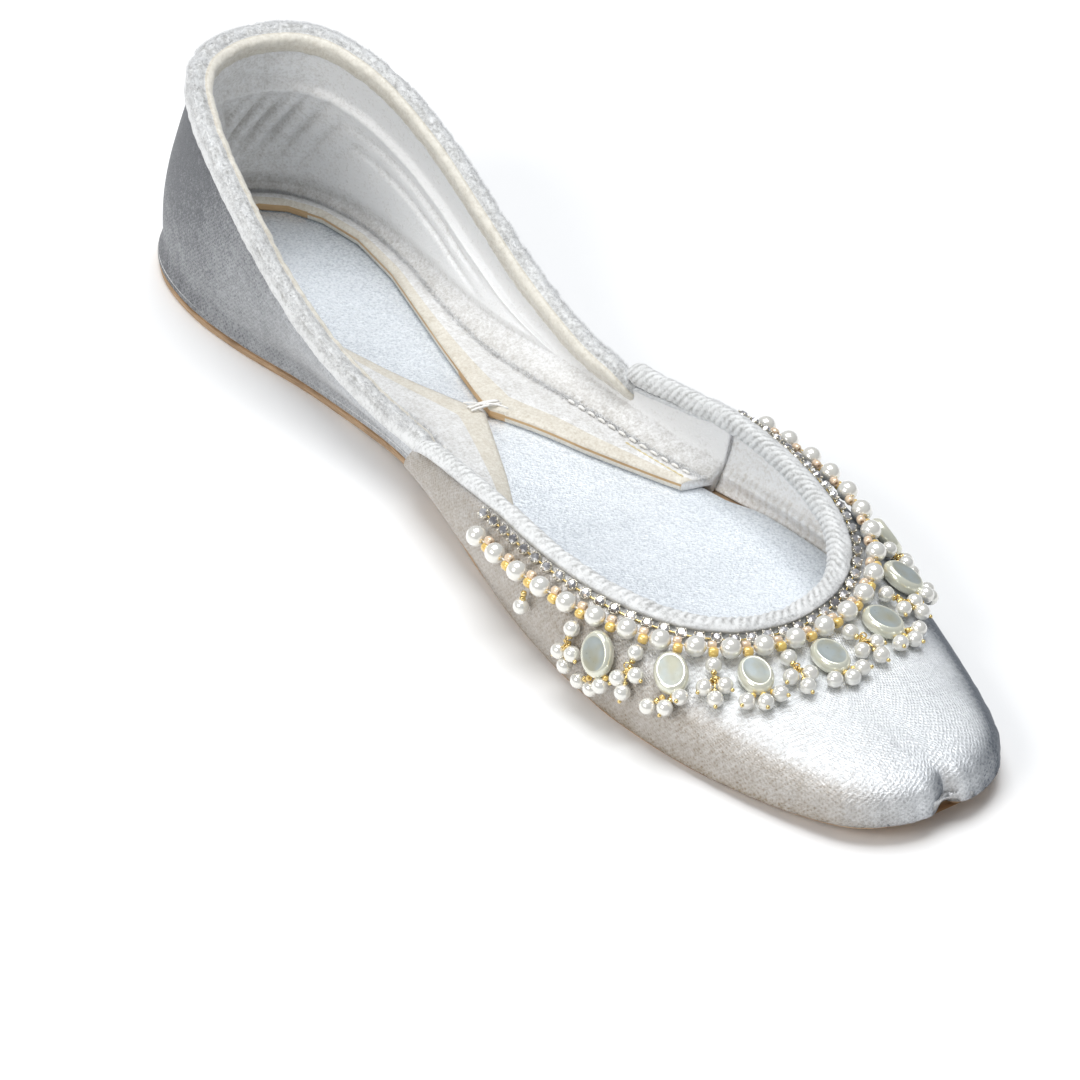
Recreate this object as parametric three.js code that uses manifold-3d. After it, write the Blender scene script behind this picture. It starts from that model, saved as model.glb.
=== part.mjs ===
// A flat velvet slip-on shoe with a beaded throat, made on a straight last, so that it fits either foot.
// Millimetres. +X runs from heel to toe, +Z is up, the floor is z = 0, and y = 0 is the shoe's mirror plane.
// The sizes below count x from the heel; the finished shoe's origin is on the floor, midway along it.
import * as THREE from "three";
import { mergeVertices } from "three/addons/utils/BufferGeometryUtils.js";
import Module from "manifold-3d";

const wasm = await Module();
wasm.setup();

// Driving sizes
const soleMargin = 1.2; // how far the sole stands out beyond the quarter's foot line
const layerThickness = 1.5; // each of the two leather layers of the sole
const gap = 0.3; // between pieces that touch
const insoleThickness = 1.6;
const wallThickness = 2.0; // quarter: velvet, leather and lining
const heelPadding = 1.2; // how much thicker the quarter is at the back of the heel
const heelPaddingReach = 3.5; // in stations either side of the heel's centre
const vampThickness = 1.6;
const flapThickness = 2.0;
const crease = { width: 1.2, rise: 1.4 }; // where the quarter's inside turns into the strip over the insole
const archHeight = 1.8;
const archFrom = 80; // x where the waist of the sole leaves the floor
const archTo = 150;
const toeSpring = 3.3;
const springFrom = 208; // x where the toe starts to lift
const toeTip = 256.6;
const middleOfLength = 128.75; // x of the middle of the finished shoe, where its origin lies
const pinchDepth = 3; // small dent at the middle of the toe
const pinchWidth = 3.4;
const pinchShare = 0.12; // share of the way up at which the dent is deepest
const pinchHeight = 0.16; // share of the way up over which the dent fades
const pinchReach = 3; // in stations either side of the toe's middle

// Stations round the last, from the middle of the heel (0) to the middle of the toe (21).
// foot: outer lower edge of the upper. top: its upper edge, the throat or collar. Y is the half width.
// bulge and rise: how far out and up the side leaves its foot. reach and drop: how it arrives at the top.
// flap: inner edge of the turned-in strip that lies on the insole.
const columns = "footX footY topX topY topZ bulge rise reach drop flapX flapY".split(" ");
const stations = [
  [1.4, 0, 13.5, 0, 52.5, 2, 19, 3.2, 14, 11, 0],
  [3.3, 9, 15, 8, 52.3, 2, 19, 3.2, 14, 12, 6.4],
  [9.2, 16.4, 19, 14.8, 51.6, 2, 18, 3, 14, 16.2, 11.5],
  [19.6, 21.8, 26.5, 20, 49.8, 2.4, 17, 2.6, 13.5, 24.4, 15.4],
  [34.7, 24.3, 38.5, 24, 45.8, 3, 15, 2.2, 12.5, 36, 17],
  [52.5, 23.1, 54.5, 26.4, 38.2, 3.8, 12, 1.9, 10.5, 52, 15.2],
  [70, 20, 70.5, 27.2, 29.4, 4.7, 8.5, 1.8, 8.5, 68, 11.2],
  [88, 18.2, 87.5, 26.8, 22, 5, 6.6, 1.8, 7, 88, 6.2],
  [105.5, 18.6, 105, 25.7, 18, 4.9, 5.8, 2, 5.8, 109, 0.6],
  [118, 20.6, 117.5, 25.1, 17.3, 4.9, 5.6, 2.8, 4.6, 118.5, 5],
  [130, 22.8, 129.4, 25.8, 18, 4.8, 5.6, 4.3, 3.2, 129.5, 9.8],
  [142.2, 25.5, 141.3, 27.4, 19.2, 4.8, 6, 5.6, 2.2, 141.4, 15.8],
  [155.4, 28.4, 154.4, 28.6, 20.4, 4.4, 6.4, 6.6, 1.6, 153.6, 21.6],
  [169.5, 30.9, 166.8, 28.9, 20, 4.1, 6.6, 7.1, 1.6, 163, 24.4],
  [184.5, 32.3, 178, 27.8, 19.4, 3.5, 6.6, 8, 2.2, 172, 26],
  [199.4, 32.1, 187.8, 25.3, 18.9, 2.9, 6.6, 9.2, 3.4, 182, 24.2],
  [213.6, 30, 195.6, 21.5, 18.3, 2.5, 6.6, 10.4, 4.8, 191, 19.8],
  [227, 26.6, 201, 16.8, 17.7, 2.1, 6.8, 11.8, 6, 196, 15.4],
  [239.2, 22.4, 204.2, 11.9, 17.1, 1.8, 7, 12.8, 6.7, 198.6, 10.4],
  [249.3, 17, 205.9, 7.1, 16.8, 1.6, 7, 13.2, 7, 200.5, 6.6],
  [254.4, 9.2, 206.6, 3.3, 16.6, 1.4, 7, 13.4, 7.2, 201.4, 2.8],
  [255.4, 0, 206.8, 0, 16.5, 1.4, 7, 13.4, 7.2, 201.4, 0],
].map((row) => Object.fromEntries(row.map((value, i) => [columns[i], value])));
const toe = stations.length - 1;
const mirrored = new Set(["footY", "topY", "flapY"]);
const quarterEnd = 11.7; // station where the quarter ends inside the vamp
const notch = 9.5; // station of the step between collar and throat
const collarEnd = 9.25; // station where the collar's binding ends
const tuckedTop = 0.8; // share of the side's height that the quarter keeps inside the vamp
const rearLean = 0.8; // how many stations the vamp's rear edge runs back at the sole
const tie = { length: 6, diameter: 1.1 };

const quarterBinding = { legs: 2.5, lip: 1.15, roll: 1.7, slack: 0.45 };
const throatBinding = { legs: 2, lip: 0.9, roll: 1.1, slack: 0.3 };
const bead = {
  pearl: 4.2,
  smallPearl: 3.3,
  count: 24,
  pitch: 7.05,
  rowFromEdge: 6.8, // from the vamp's upper edge to the row's centre line, along the surface
  stone: 2.3,
  stonePitch: 3.5,
  stoneFromEdge: 3.4,
  stoneHeight: 1.6,
  stoneLift: 0.42, // a little more than the gap, so that the flat cups clear the curved toe
  stoneTable: 0.6, // width of a stone's flat top as a share of its cup
  linkShare: 0.35, // size of the link between two cups as a share of a cup
  stoneCount: 45,
  spacer: 2,
  link: 1.5, // gold beads and wire between pearls
};
const oval = { length: 9.2, width: 6.8, thickness: 3, fromRow: 6.6 };
const ovalFan = [
  { across: -3.4, along: -0.8 },
  { across: 0, along: 0.4 },
  { across: 3.4, along: -0.8 },
];
const cluster = [
  { across: 0, below: 4.1 },
  { across: -2, below: 8.8 },
  { across: 2, below: 9.1 },
  { across: 0, below: 11.8 },
];
const single = { from: 3.2, below: 6 };
const ovalGaps = [6, 8, 10, 12, 14, 16, 18]; // each hangs after this pearl of the row
const clusterGaps = [5, 7, 9, 11, 13, 15, 17, 19];
const singleGaps = [3, 21];

// Values between stations

function stationValue(index, name) {
  const back = index < 0;
  const past = index > toe;
  const row = back ? -index : past ? 2 * toe - index : index;
  const value = stations[row][name];
  return mirrored.has(name) && (back || past) ? -value : value;
}

// Smooth curve through the stations, which passes each of them.
function smooth(u, name) {
  const i = Math.floor(u);
  const t = u - i;
  const [a, b, c, d] = [-1, 0, 1, 2].map((k) => stationValue(i + k, name));
  const slopeIn = (c - a) / 2;
  const slopeOut = (d - b) / 2;
  const t2 = t * t;
  const t3 = t2 * t;
  const share = 3 * t2 - 2 * t3;
  return (1 - share) * b + (t3 - 2 * t2 + t) * slopeIn + share * c + (t3 - t2) * slopeOut;
}

// Straight lines between the stations, for the strip's pointed edge.
function straight(u, name) {
  const i = Math.floor(u);
  return THREE.MathUtils.lerp(stationValue(i, name), stationValue(i + 1, name), u - i);
}

// Height of the sole's underside.
function underside(x) {
  const arch = THREE.MathUtils.clamp((x - archFrom) / (archTo - archFrom), 0, 1);
  const spring = Math.max(0, (x - springFrom) / (toeTip - springFrom));
  return archHeight * Math.sin(Math.PI * arch) ** 2 + toeSpring * spring ** 2;
}

const layerStep = layerThickness + gap;
const footLift = 2 * layerStep; // the upper's lower edge above the underside
const insoleTop = footLift + insoleThickness;
const flapBottom = insoleTop + gap;
const flapTop = flapBottom + flapThickness;

// The last's surface

function outward(u, x, y) {
  const step = 0.02;
  const dx = smooth(u + step, x) - smooth(u - step, x);
  const dy = smooth(u + step, y) - smooth(u - step, y);
  return new THREE.Vector3(-dy, dx, 0).normalize();
}

function footPoint(u, inset = 0) {
  const point = new THREE.Vector3(smooth(u, "footX"), smooth(u, "footY"), 0);
  point.addScaledVector(outward(u, "footX", "footY"), -inset);
  point.z = underside(point.x) + footLift;
  return point;
}

// How deep the toe's dent is at a distance from the middle.
function pinchAt(u, y) {
  return Math.abs(u - toe) < pinchReach ? pinchDepth * Math.exp(-((y / pinchWidth) ** 2)) : 0;
}

// One curve from foot (v = 0) to top (v = 1), with a small dent at the middle of the toe.
function lastPoint(u, v) {
  const foot = footPoint(u);
  const top = new THREE.Vector3(smooth(u, "topX"), smooth(u, "topY"), smooth(u, "topZ"));
  const low = foot.clone().addScaledVector(outward(u, "footX", "footY"), smooth(u, "bulge"));
  low.z += smooth(u, "rise");
  const high = top.clone().addScaledVector(outward(u, "topX", "topY"), smooth(u, "reach"));
  high.z -= smooth(u, "drop");
  const point = new THREE.CubicBezierCurve3(foot, low, high, top).getPoint(v);
  point.x -= pinchAt(u, point.y) * Math.exp(-(((v - pinchShare) / pinchHeight) ** 2));
  return point;
}

function lastNormal(u, v) {
  const step = 0.02;
  const along = lastPoint(u + step, v).sub(lastPoint(u - step, v));
  const up = lastPoint(u, Math.min(1, v + step)).sub(lastPoint(u, Math.max(0, v - step)));
  return along.cross(up).negate().normalize();
}

function upperPoint(u, v, offset) {
  return lastPoint(u, v).addScaledVector(lastNormal(u, v), offset);
}

// The share v at which the side reaches a height.
function shareAtHeight(u, height) {
  let low = 0;
  let high = 1;
  for (let i = 0; i < 24; i += 1) {
    const middle = (low + high) / 2;
    if (lastPoint(u, middle).z < height) low = middle;
    else high = middle;
  }
  return low;
}

// Closed meshes

// Joins rings of points, each a closed loop, and closes the two ends with the given flat outline.
function loft(rings, capOutline) {
  const count = rings[0].length;
  const positions = rings.flat().flatMap((p) => [p.x, p.y, p.z]);
  const faces = [];
  for (let r = 0; r + 1 < rings.length; r += 1) {
    for (let i = 0; i < count; i += 1) {
      const a = r * count + i;
      const b = r * count + ((i + 1) % count);
      faces.push(a, b, a + count, b, b + count, a + count);
    }
  }
  const last = (rings.length - 1) * count;
  for (const [a, b, c] of THREE.ShapeUtils.triangulateShape(capOutline, [])) {
    faces.push(a, c, b, last + a, last + b, last + c);
  }
  const geometry = new THREE.BufferGeometry();
  geometry.setAttribute("position", new THREE.Float32BufferAttribute(positions, 3));
  geometry.setIndex(faces);
  return geometry;
}

// A closed geometry as a solid, turned face out, without the faces that shrank to a line.
function solidOf(geometry) {
  const plain = geometry.clone();
  plain.deleteAttribute("normal");
  plain.deleteAttribute("uv");
  const merged = mergeVertices(plain, 1e-3);
  const index = merged.index.array;
  const kept = [];
  for (let i = 0; i < index.length; i += 3) {
    const [a, b, c] = [index[i], index[i + 1], index[i + 2]];
    if (a !== b && b !== c && c !== a) kept.push(a, b, c);
  }
  const build = (triVerts) =>
    new wasm.Manifold(
      new wasm.Mesh({
        numProp: 3,
        vertProperties: new Float32Array(merged.attributes.position.array),
        triVerts: new Uint32Array(triVerts),
      }),
    );
  const made = build(kept);
  return made.volume() < 0 ? build(kept.reverse()) : made;
}

function geometryOf(solid) {
  const mesh = solid.getMesh();
  const geometry = new THREE.BufferGeometry();
  geometry.setAttribute("position", new THREE.Float32BufferAttribute(Array.from(mesh.vertProperties), 3));
  geometry.setIndex(Array.from(mesh.triVerts));
  geometry.computeVertexNormals();
  return geometry;
}

function joined(geometries) {
  return geometries.map(solidOf).reduce((all, next) => all.add(next));
}

const finishes = {
  velvet: { color: 0xe4e6e8, roughness: 0.6, metalness: 0.1 },
  binding: { color: 0xeeeae2, roughness: 0.75, metalness: 0 },
  leather: { color: 0xc49a68, roughness: 0.7, metalness: 0 },
  thread: { color: 0xf4f2ea, roughness: 0.8, metalness: 0 },
  crystal: { color: 0xd9c48a, roughness: 0.15, metalness: 0.6 },
  pearl: { color: 0xf0ead8, roughness: 0.25, metalness: 0.1 },
};
const shoe = new THREE.Group();

function addPiece(name, solid, finish) {
  const mesh = new THREE.Mesh(geometryOf(solid), new THREE.MeshStandardMaterial(finishes[finish]));
  mesh.name = name;
  shoe.add(mesh);
}

function range(from, to, step) {
  const count = Math.round((to - from) / step);
  return Array.from({ length: count + 1 }, (_, i) => from + ((to - from) * i) / count);
}

// Sole: two leather layers and the insole, each a slab from heel to toe

function slab(bottom, top, insetAt) {
  const rings = range(0, toe, 0.5).map((u) => {
    const edge = footPoint(u, insetAt(u));
    const low = underside(edge.x) + bottom;
    const high = underside(edge.x) + top;
    return [
      new THREE.Vector3(edge.x, edge.y, low),
      new THREE.Vector3(edge.x, edge.y, high),
      new THREE.Vector3(edge.x, -edge.y, high),
      new THREE.Vector3(edge.x, -edge.y, low),
    ];
  });
  const square = [[0, 0], [0, 1], [1, 1], [1, 0]].map(([x, y]) => new THREE.Vector2(x, y));
  return solidOf(loft(rings, square));
}

addPiece("outsole", slab(0, layerThickness, () => -soleMargin), "leather");
addPiece("sole_layer", slab(layerStep, layerStep + layerThickness, () => -soleMargin), "leather");

// The insole is narrower where the quarter stands beside it.
function insoleInset(u) {
  const widened = THREE.MathUtils.smoothstep(u, quarterEnd + 0.3, quarterEnd + 1);
  return THREE.MathUtils.lerp(heelWall(u) + gap, gap, widened) + 1.1 * pinchAt(u, smooth(u, "footY"));
}

function heelWall(u) {
  return wallThickness + heelPadding * Math.exp(-((u / heelPaddingReach) ** 2));
}

addPiece("insole", slab(footLift, insoleTop, insoleInset), "velvet");

// Quarter: a hollow band round the heel, with its lower edge turned in over the insole

function quarterRing(u) {
  const thickness = heelWall(u);
  const share = Math.abs(u) > collarEnd ? tuckedTop : 1;
  const outer = [0, 0.17, 0.36, 0.57, 0.79, 1].map((s) => upperPoint(u, s * share, 0));
  const floor = underside(smooth(u, "footX"));
  const low = shareAtHeight(u, floor + flapTop + crease.rise);
  const inner = [1, 0.78, 0.54, 0.28, 0].map((s) =>
    upperPoint(u, THREE.MathUtils.lerp(low, share, s), -thickness),
  );
  const fold = footPoint(u, thickness + crease.width).setZ(floor + flapTop);
  const edge = new THREE.Vector3(straight(u, "flapX"), straight(u, "flapY"), floor + flapTop);
  const under = footPoint(u, thickness).setZ(floor + flapBottom);
  const inside = footPoint(u, thickness);
  return [...outer, ...inner, fold, edge, edge.clone().setZ(floor + flapBottom), under, inside];
}

// Where a ring lies in the upright plane along a flat direction, for closing an end.
function flatOutline(ring, direction) {
  return ring.map((p) => new THREE.Vector2(p.dot(direction), p.z));
}

function buildQuarter() {
  const half = [...range(0, 9, 0.5), collarEnd, collarEnd + 0.12, ...range(9.5, 11.5, 0.5), quarterEnd];
  const all = [...half.slice(1).reverse().map((u) => -u), ...half];
  const across = outward(quarterEnd, "footX", "footY");
  return solidOf(loft(all.map(quarterRing), flatOutline(quarterRing(quarterEnd), across)));
}

addPiece("quarter", buildQuarter(), "velvet");

// Vamp: the hollow front, outside the quarter, from one notch round the toe to the other

const vampInside = gap;
const vampOutside = gap + vampThickness;

// A side of the vamp's wall from the sole up; its lowest point stands level over the sole's edge.
function vampSide(stationAt, offset) {
  const shares = [0.08, 0.18, 0.32, 0.48, 0.65, 0.83, 1];
  return [footPoint(stationAt(0), -offset), ...shares.map((v) => upperPoint(stationAt(v), v, offset))];
}

function vampRing(stationAt) {
  return [...vampSide(stationAt, vampOutside), ...vampSide(stationAt, vampInside).reverse()];
}

// The rear edge leans back from the notch to the sole.
function rearStation(v) {
  return THREE.MathUtils.lerp(notch - rearLean, notch, v);
}

function buildVamp() {
  const between = range(10, 2 * toe - 10, 0.5);
  const rings = [
    vampRing(rearStation),
    ...between.map((u) => vampRing(() => u)),
    vampRing((v) => 2 * toe - rearStation(v)),
  ];
  const across = outward(notch, "footX", "footY");
  return solidOf(loft(rings, flatOutline(rings[0], across)));
}

addPiece("vamp", buildVamp(), "velvet");

// Bindings: rolled strips that straddle an upper edge

// The roll's section, out from the middle of the wall and up from its edge.
function bindingSection(halfWall, sizes) {
  const shoulder = { across: 0.85, along: 0.6 };
  const inside = halfWall + sizes.slack;
  const outside = inside + sizes.lip;
  return [
    [inside, -sizes.legs],
    [outside, -sizes.legs],
    [shoulder.across * outside, shoulder.along * sizes.roll],
    [0, sizes.roll + gap],
    [-shoulder.across * outside, shoulder.along * sizes.roll],
    [-outside, -sizes.legs],
    [-inside, -sizes.legs],
    [-inside, gap],
    [inside, gap],
  ];
}

function binding(stationList, wallAt, sizes) {
  const rings = stationList.map((u) => {
    const [inside, outside] = wallAt(u);
    const middle = upperPoint(u, 1, (inside + outside) / 2);
    const normal = lastNormal(u, 1);
    const up = lastPoint(u, 1).sub(lastPoint(u, 0.86)).normalize();
    return bindingSection((outside - inside) / 2, sizes).map(([across, along]) =>
      middle.clone().addScaledVector(normal, across).addScaledVector(up, along),
    );
  });
  const flat = bindingSection(1, sizes).map(([x, y]) => new THREE.Vector2(x, y));
  return solidOf(loft(rings, flat));
}

const collarStations = [-collarEnd, ...range(-9, 9, 0.5), collarEnd];
const throatStations = [notch, ...range(10, 2 * toe - 10, 0.5), 2 * toe - notch];

addPiece("quarter_binding", binding(collarStations, (u) => [-heelWall(u), 0], quarterBinding), "binding");
addPiece("vamp_binding", binding(throatStations, () => [vampInside, vampOutside], throatBinding), "binding");

// Thread that ties the two points of the turned-in strip over the insole

function buildTie() {
  const { flapX } = stations[8];
  const height = underside(flapX) + flapTop + gap + tie.diameter / 2;
  const geometry = new THREE.CapsuleGeometry(tie.diameter / 2, tie.length, 2, 6);
  return solidOf(geometry.translate(flapX - 1, 0, height));
}

addPiece("flap_tie", buildTie(), "thread");

// Beadwork on the vamp, below its binding

// A point of the vamp's outside at a distance along the surface from its upper edge, with its directions.
function beadPlace(u, fromEdge, lift = 0) {
  let v = 1;
  let walked = 0;
  let point = upperPoint(u, v, vampOutside);
  while (walked < fromEdge && v > 0) {
    v -= 0.004;
    const next = upperPoint(u, v, vampOutside);
    walked += next.distanceTo(point);
    point = next;
  }
  const normal = lastNormal(u, v);
  const down = upperPoint(u, v - 0.01, vampOutside).sub(point).normalize();
  const side = new THREE.Vector3().crossVectors(normal, down).normalize();
  return { point: point.addScaledVector(normal, lift), normal, down, side };
}

// Stations at equal steps of length along the line at a distance from the edge, symmetric about the toe.
function evenStations(fromEdge, lift, pitch, count) {
  const step = 0.02;
  const wanted = range(0, count - 1, 1).map((i) => (i - (count - 1) / 2) * pitch);
  const half = [[toe, 0]];
  let [u, length] = half[0];
  let point = beadPlace(u, fromEdge, lift).point;
  while (length < wanted[count - 1] + pitch) {
    u += step;
    const next = beadPlace(u, fromEdge, lift).point;
    length += next.distanceTo(point);
    point = next;
    half.push([u, length]);
  }
  return wanted.map((target) => {
    const k = half.findIndex(([, reached]) => reached >= Math.abs(target));
    const found = half[Math.max(k, 0)][0];
    return target < 0 ? 2 * toe - found : found;
  });
}

const pearlLift = gap + bead.pearl / 2;
const smallLift = gap + bead.smallPearl / 2;
const rowStations = evenStations(bead.rowFromEdge, pearlLift, bead.pitch, bead.count);
const rowPlaces = rowStations.map((u) => beadPlace(u, bead.rowFromEdge, pearlLift));

function ball(diameter, at, around = 6, rings = 4) {
  return new THREE.SphereGeometry(diameter / 2, around, rings).translate(at.x, at.y, at.z);
}

function smallBall(at) {
  return ball(bead.smallPearl, at, 5, 3);
}

// A short rod between two points.
function rod(from, to, diameter, sides = 3) {
  const geometry = new THREE.CylinderGeometry(diameter / 2, diameter / 2, from.distanceTo(to), sides);
  const turn = new THREE.Quaternion().setFromUnitVectors(
    new THREE.Vector3(0, 1, 0),
    to.clone().sub(from).normalize(),
  );
  const middle = from.clone().add(to).multiplyScalar(0.5);
  return geometry.applyQuaternion(turn).translate(middle.x, middle.y, middle.z);
}

// Row pearls, each with the gold beads that lead to the next one
rowPlaces.forEach(({ point }, i) => {
  const pieces = [ball(bead.pearl, point)];
  if (i + 1 < bead.count) {
    const toNext = rowPlaces[i + 1].point.clone().sub(point);
    const direction = toNext.clone().normalize();
    const from = point.clone().addScaledVector(direction, bead.pearl / 2 - 0.4);
    const to = point.clone().addScaledVector(direction, toNext.length() - bead.pearl / 2 - gap);
    pieces.push(rod(from, to, bead.spacer));
  }
  addPiece(`row_pearl_${String(i + 1).padStart(2, "0")}`, joined(pieces), "pearl");
});

// The place under the middle of a gap in the row: square to the row, at a distance from its line.
function hangPlace(after, below, lift) {
  const [from, to] = [rowPlaces[after - 1].point, rowPlaces[after].point];
  const middle = from.clone().add(to).multiplyScalar(0.5);
  const along = to.clone().sub(from).normalize();
  const stationsPerLength = (rowStations[after] - rowStations[after - 1]) / bead.pitch;
  let u = (rowStations[after - 1] + rowStations[after]) / 2;
  let fromEdge = bead.rowFromEdge + below;
  for (let i = 0; i < 8; i += 1) {
    const offset = beadPlace(u, fromEdge, lift).point.sub(middle);
    u -= 0.8 * offset.dot(along) * stationsPerLength;
    fromEdge += below - offset.length();
  }
  return beadPlace(u, fromEdge, lift);
}

// A point at a place, moved along its directions.
function offsetPoint({ point, normal, down, side }, across, along, out = 0) {
  const moved = point.clone().addScaledVector(side, across);
  return moved.addScaledVector(down, along).addScaledVector(normal, out);
}

// Flat oval beads with three small pearls on gold beads at their lower end

function ovalGeometry(place) {
  const profile = [
    [0, -0.5],
    [0.8, -0.5],
    [1, -0.15],
    [1, 0.15],
    [0.76, 0.5],
    [0, 0.5],
  ].map(([x, y]) => new THREE.Vector2(x, y * oval.thickness));
  const geometry = new THREE.LatheGeometry(profile, 8).scale(oval.width / 2, 1, oval.length / 2);
  const turn = new THREE.Matrix4().makeBasis(place.side, place.normal, place.down.clone());
  return geometry.applyMatrix4(turn.setPosition(place.point));
}

ovalGaps.forEach((after, i) => {
  const middle = hangPlace(after, oval.fromRow, gap + oval.thickness / 2);
  const tip = hangPlace(after, oval.fromRow + oval.length / 2 + smallLift, smallLift);
  const pieces = [ovalGeometry(middle)];
  const [left, centre, right] = ovalFan.map(({ across, along }) => offsetPoint(tip, across, along));
  pieces.push(...[left, centre, right].map(smallBall));
  pieces.push(rod(middle.point, centre, bead.link), rod(left, right, bead.link));
  addPiece(`oval_drop_${i + 1}`, joined(pieces), "pearl");
});

// Clusters: a small pearl, a wired gold stem and three small pearls
clusterGaps.forEach((after, i) => {
  const [head, ...fan] = cluster.map(({ across, below }) => {
    const place = hangPlace(after, below, smallLift);
    return offsetPoint(place, across, 0);
  });
  const pieces = [smallBall(head)];
  fan.forEach((at) => pieces.push(smallBall(at), rod(head, at, bead.link)));
  addPiece(`pearl_cluster_${i + 1}`, joined(pieces), "pearl");
});

// Single drops: one small pearl under two gold beads
singleGaps.forEach((after, i) => {
  const at = hangPlace(after, single.below, smallLift).point;
  const from = hangPlace(after, single.from, smallLift).point;
  addPiece(`single_drop_${i + 1}`, joined([smallBall(at), rod(from, at, bead.link)]), "pearl");
});

// Chain of cut stones in round cups, between the binding and the row of pearls

function buildChain() {
  const cups = evenStations(bead.stoneFromEdge, bead.stoneLift, bead.stonePitch / 2, 2 * bead.stoneCount - 1);
  const rings = cups.map((u, i) => {
    const place = beadPlace(u, bead.stoneFromEdge, bead.stoneLift);
    const size = i % 2 ? bead.linkShare : 1; // every second ring is a link between two cups
    const half = (size * bead.stone) / 2;
    const height = size * bead.stoneHeight;
    return [
      offsetPoint(place, 0, -half),
      offsetPoint(place, 0, half),
      offsetPoint(place, 0, bead.stoneTable * half, height),
      offsetPoint(place, 0, -bead.stoneTable * half, height),
    ];
  });
  const outline = [[-1, 0], [1, 0], [1, 1], [-1, 1]].map(([x, y]) => new THREE.Vector2(x, y));
  return solidOf(loft(rings, outline));
}

addPiece("crystal_chain", buildChain(), "crystal");

shoe.position.x = -middleOfLength;

export default shoe;
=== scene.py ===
import math
import random

import bmesh
import bpy
import numpy as np
from mathutils import Matrix, Vector


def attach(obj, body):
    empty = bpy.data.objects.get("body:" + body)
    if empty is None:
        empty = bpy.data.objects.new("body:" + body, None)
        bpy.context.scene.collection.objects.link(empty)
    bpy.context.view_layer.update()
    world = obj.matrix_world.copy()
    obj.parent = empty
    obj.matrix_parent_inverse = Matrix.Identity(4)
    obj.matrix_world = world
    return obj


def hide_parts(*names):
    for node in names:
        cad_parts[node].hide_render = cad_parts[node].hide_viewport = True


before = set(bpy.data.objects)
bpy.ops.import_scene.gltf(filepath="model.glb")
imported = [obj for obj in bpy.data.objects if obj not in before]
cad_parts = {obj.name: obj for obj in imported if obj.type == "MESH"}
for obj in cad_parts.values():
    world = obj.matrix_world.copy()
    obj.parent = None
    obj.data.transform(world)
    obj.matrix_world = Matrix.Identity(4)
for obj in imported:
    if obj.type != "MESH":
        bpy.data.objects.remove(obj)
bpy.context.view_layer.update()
print("frame loaded:", len(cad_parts), "nodes")

# Sizes in millimetres, counted from the heel along x; the frame's origin is midway along the shoe
shoe = {
    "middle": 128.75, "soleMargin": 1.2, "layer": 1.5, "gap": 0.3, "insole": 1.6,
    "wall": 2.0, "heelPadding": 1.2, "heelPaddingReach": 3.5, "vampWall": 1.6, "flap": 2.0,
    "archHeight": 1.8, "archFrom": 80, "archTo": 150, "toeSpring": 3.3, "springFrom": 208, "toeTip": 256.6,
    "pinchDepth": 1.9, "pinchWidth": 2.4, "pinchShare": 0.0, "pinchHeight": 0.22, "pinchReach": 3,
    "quarterEnd": 11.7, "notch": 9.5, "collarEnd": 9.25, "tuckedTop": 0.8, "rearLean": 0.8,
}

# Stations round the shoe from the middle of the heel (0) to the middle of the toe (21)
columns = "footX footY topX topY topZ bulge rise reach drop flapX flapY".split()
stations = np.array([
    [1.4, 0, 13.5, 0, 52.5, 2, 19, 3.2, 14, 11, 0],
    [3.3, 9, 15, 8, 52.3, 2, 19, 3.2, 14, 12, 6.4],
    [9.2, 16.4, 19, 14.8, 51.6, 2, 18, 3, 14, 16.2, 11.5],
    [19.6, 21.8, 26.5, 20, 49.8, 2.4, 17, 2.6, 13.5, 24.4, 15.4],
    [34.7, 24.3, 38.5, 24, 45.8, 3, 15, 2.2, 12.5, 36, 17],
    [52.5, 23.1, 54.5, 26.4, 38.2, 3.8, 12, 1.9, 10.5, 52, 15.2],
    [70, 20, 70.5, 27.2, 29.4, 4.7, 8.5, 1.8, 8.5, 68, 11.2],
    [88, 18.2, 87.5, 26.8, 22, 5, 6.6, 1.8, 7, 88, 6.2],
    [105.5, 18.6, 105, 25.7, 18, 4.9, 5.8, 2, 5.8, 109, 0.6],
    [118, 20.6, 117.5, 25.1, 17.3, 4.9, 5.6, 2.8, 4.6, 118.5, 5],
    [130, 22.8, 129.4, 25.8, 18, 4.8, 5.6, 4.3, 3.2, 129.5, 9.8],
    [142.2, 25.5, 141.3, 27.4, 19.2, 4.8, 6, 5.6, 2.2, 141.4, 15.8],
    [155.4, 28.4, 154.4, 28.6, 20.4, 4.4, 6.4, 6.6, 1.6, 153.6, 21.6],
    [169.5, 30.9, 166.8, 28.9, 20, 4.1, 6.6, 7.1, 1.6, 163, 24.4],
    [184.5, 32.3, 178, 27.8, 19.4, 3.5, 6.6, 8, 2.2, 172, 26],
    [199.4, 32.1, 187.8, 25.3, 18.9, 2.9, 6.6, 9.2, 3.4, 182, 24.2],
    [213.6, 30, 195.6, 21.5, 18.3, 2.5, 6.6, 10.4, 4.8, 191, 19.8],
    [227, 26.6, 201, 16.8, 17.7, 2.1, 6.8, 11.8, 6, 196, 15.4],
    [239.2, 22.4, 204.2, 11.9, 17.1, 1.8, 7, 12.8, 6.7, 198.6, 10.4],
    [249.3, 17, 205.9, 7.1, 16.8, 1.6, 7, 13.2, 7, 200.5, 6.6],
    [254.4, 9.2, 206.6, 3.3, 16.6, 1.4, 7, 13.4, 7.2, 201.4, 2.8],
    [255.4, 0, 206.8, 0, 16.5, 1.4, 7, 13.4, 7.2, 201.4, 0],
])
toe = len(stations) - 1
mirrored = {"footY", "topY", "flapY"}

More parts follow.
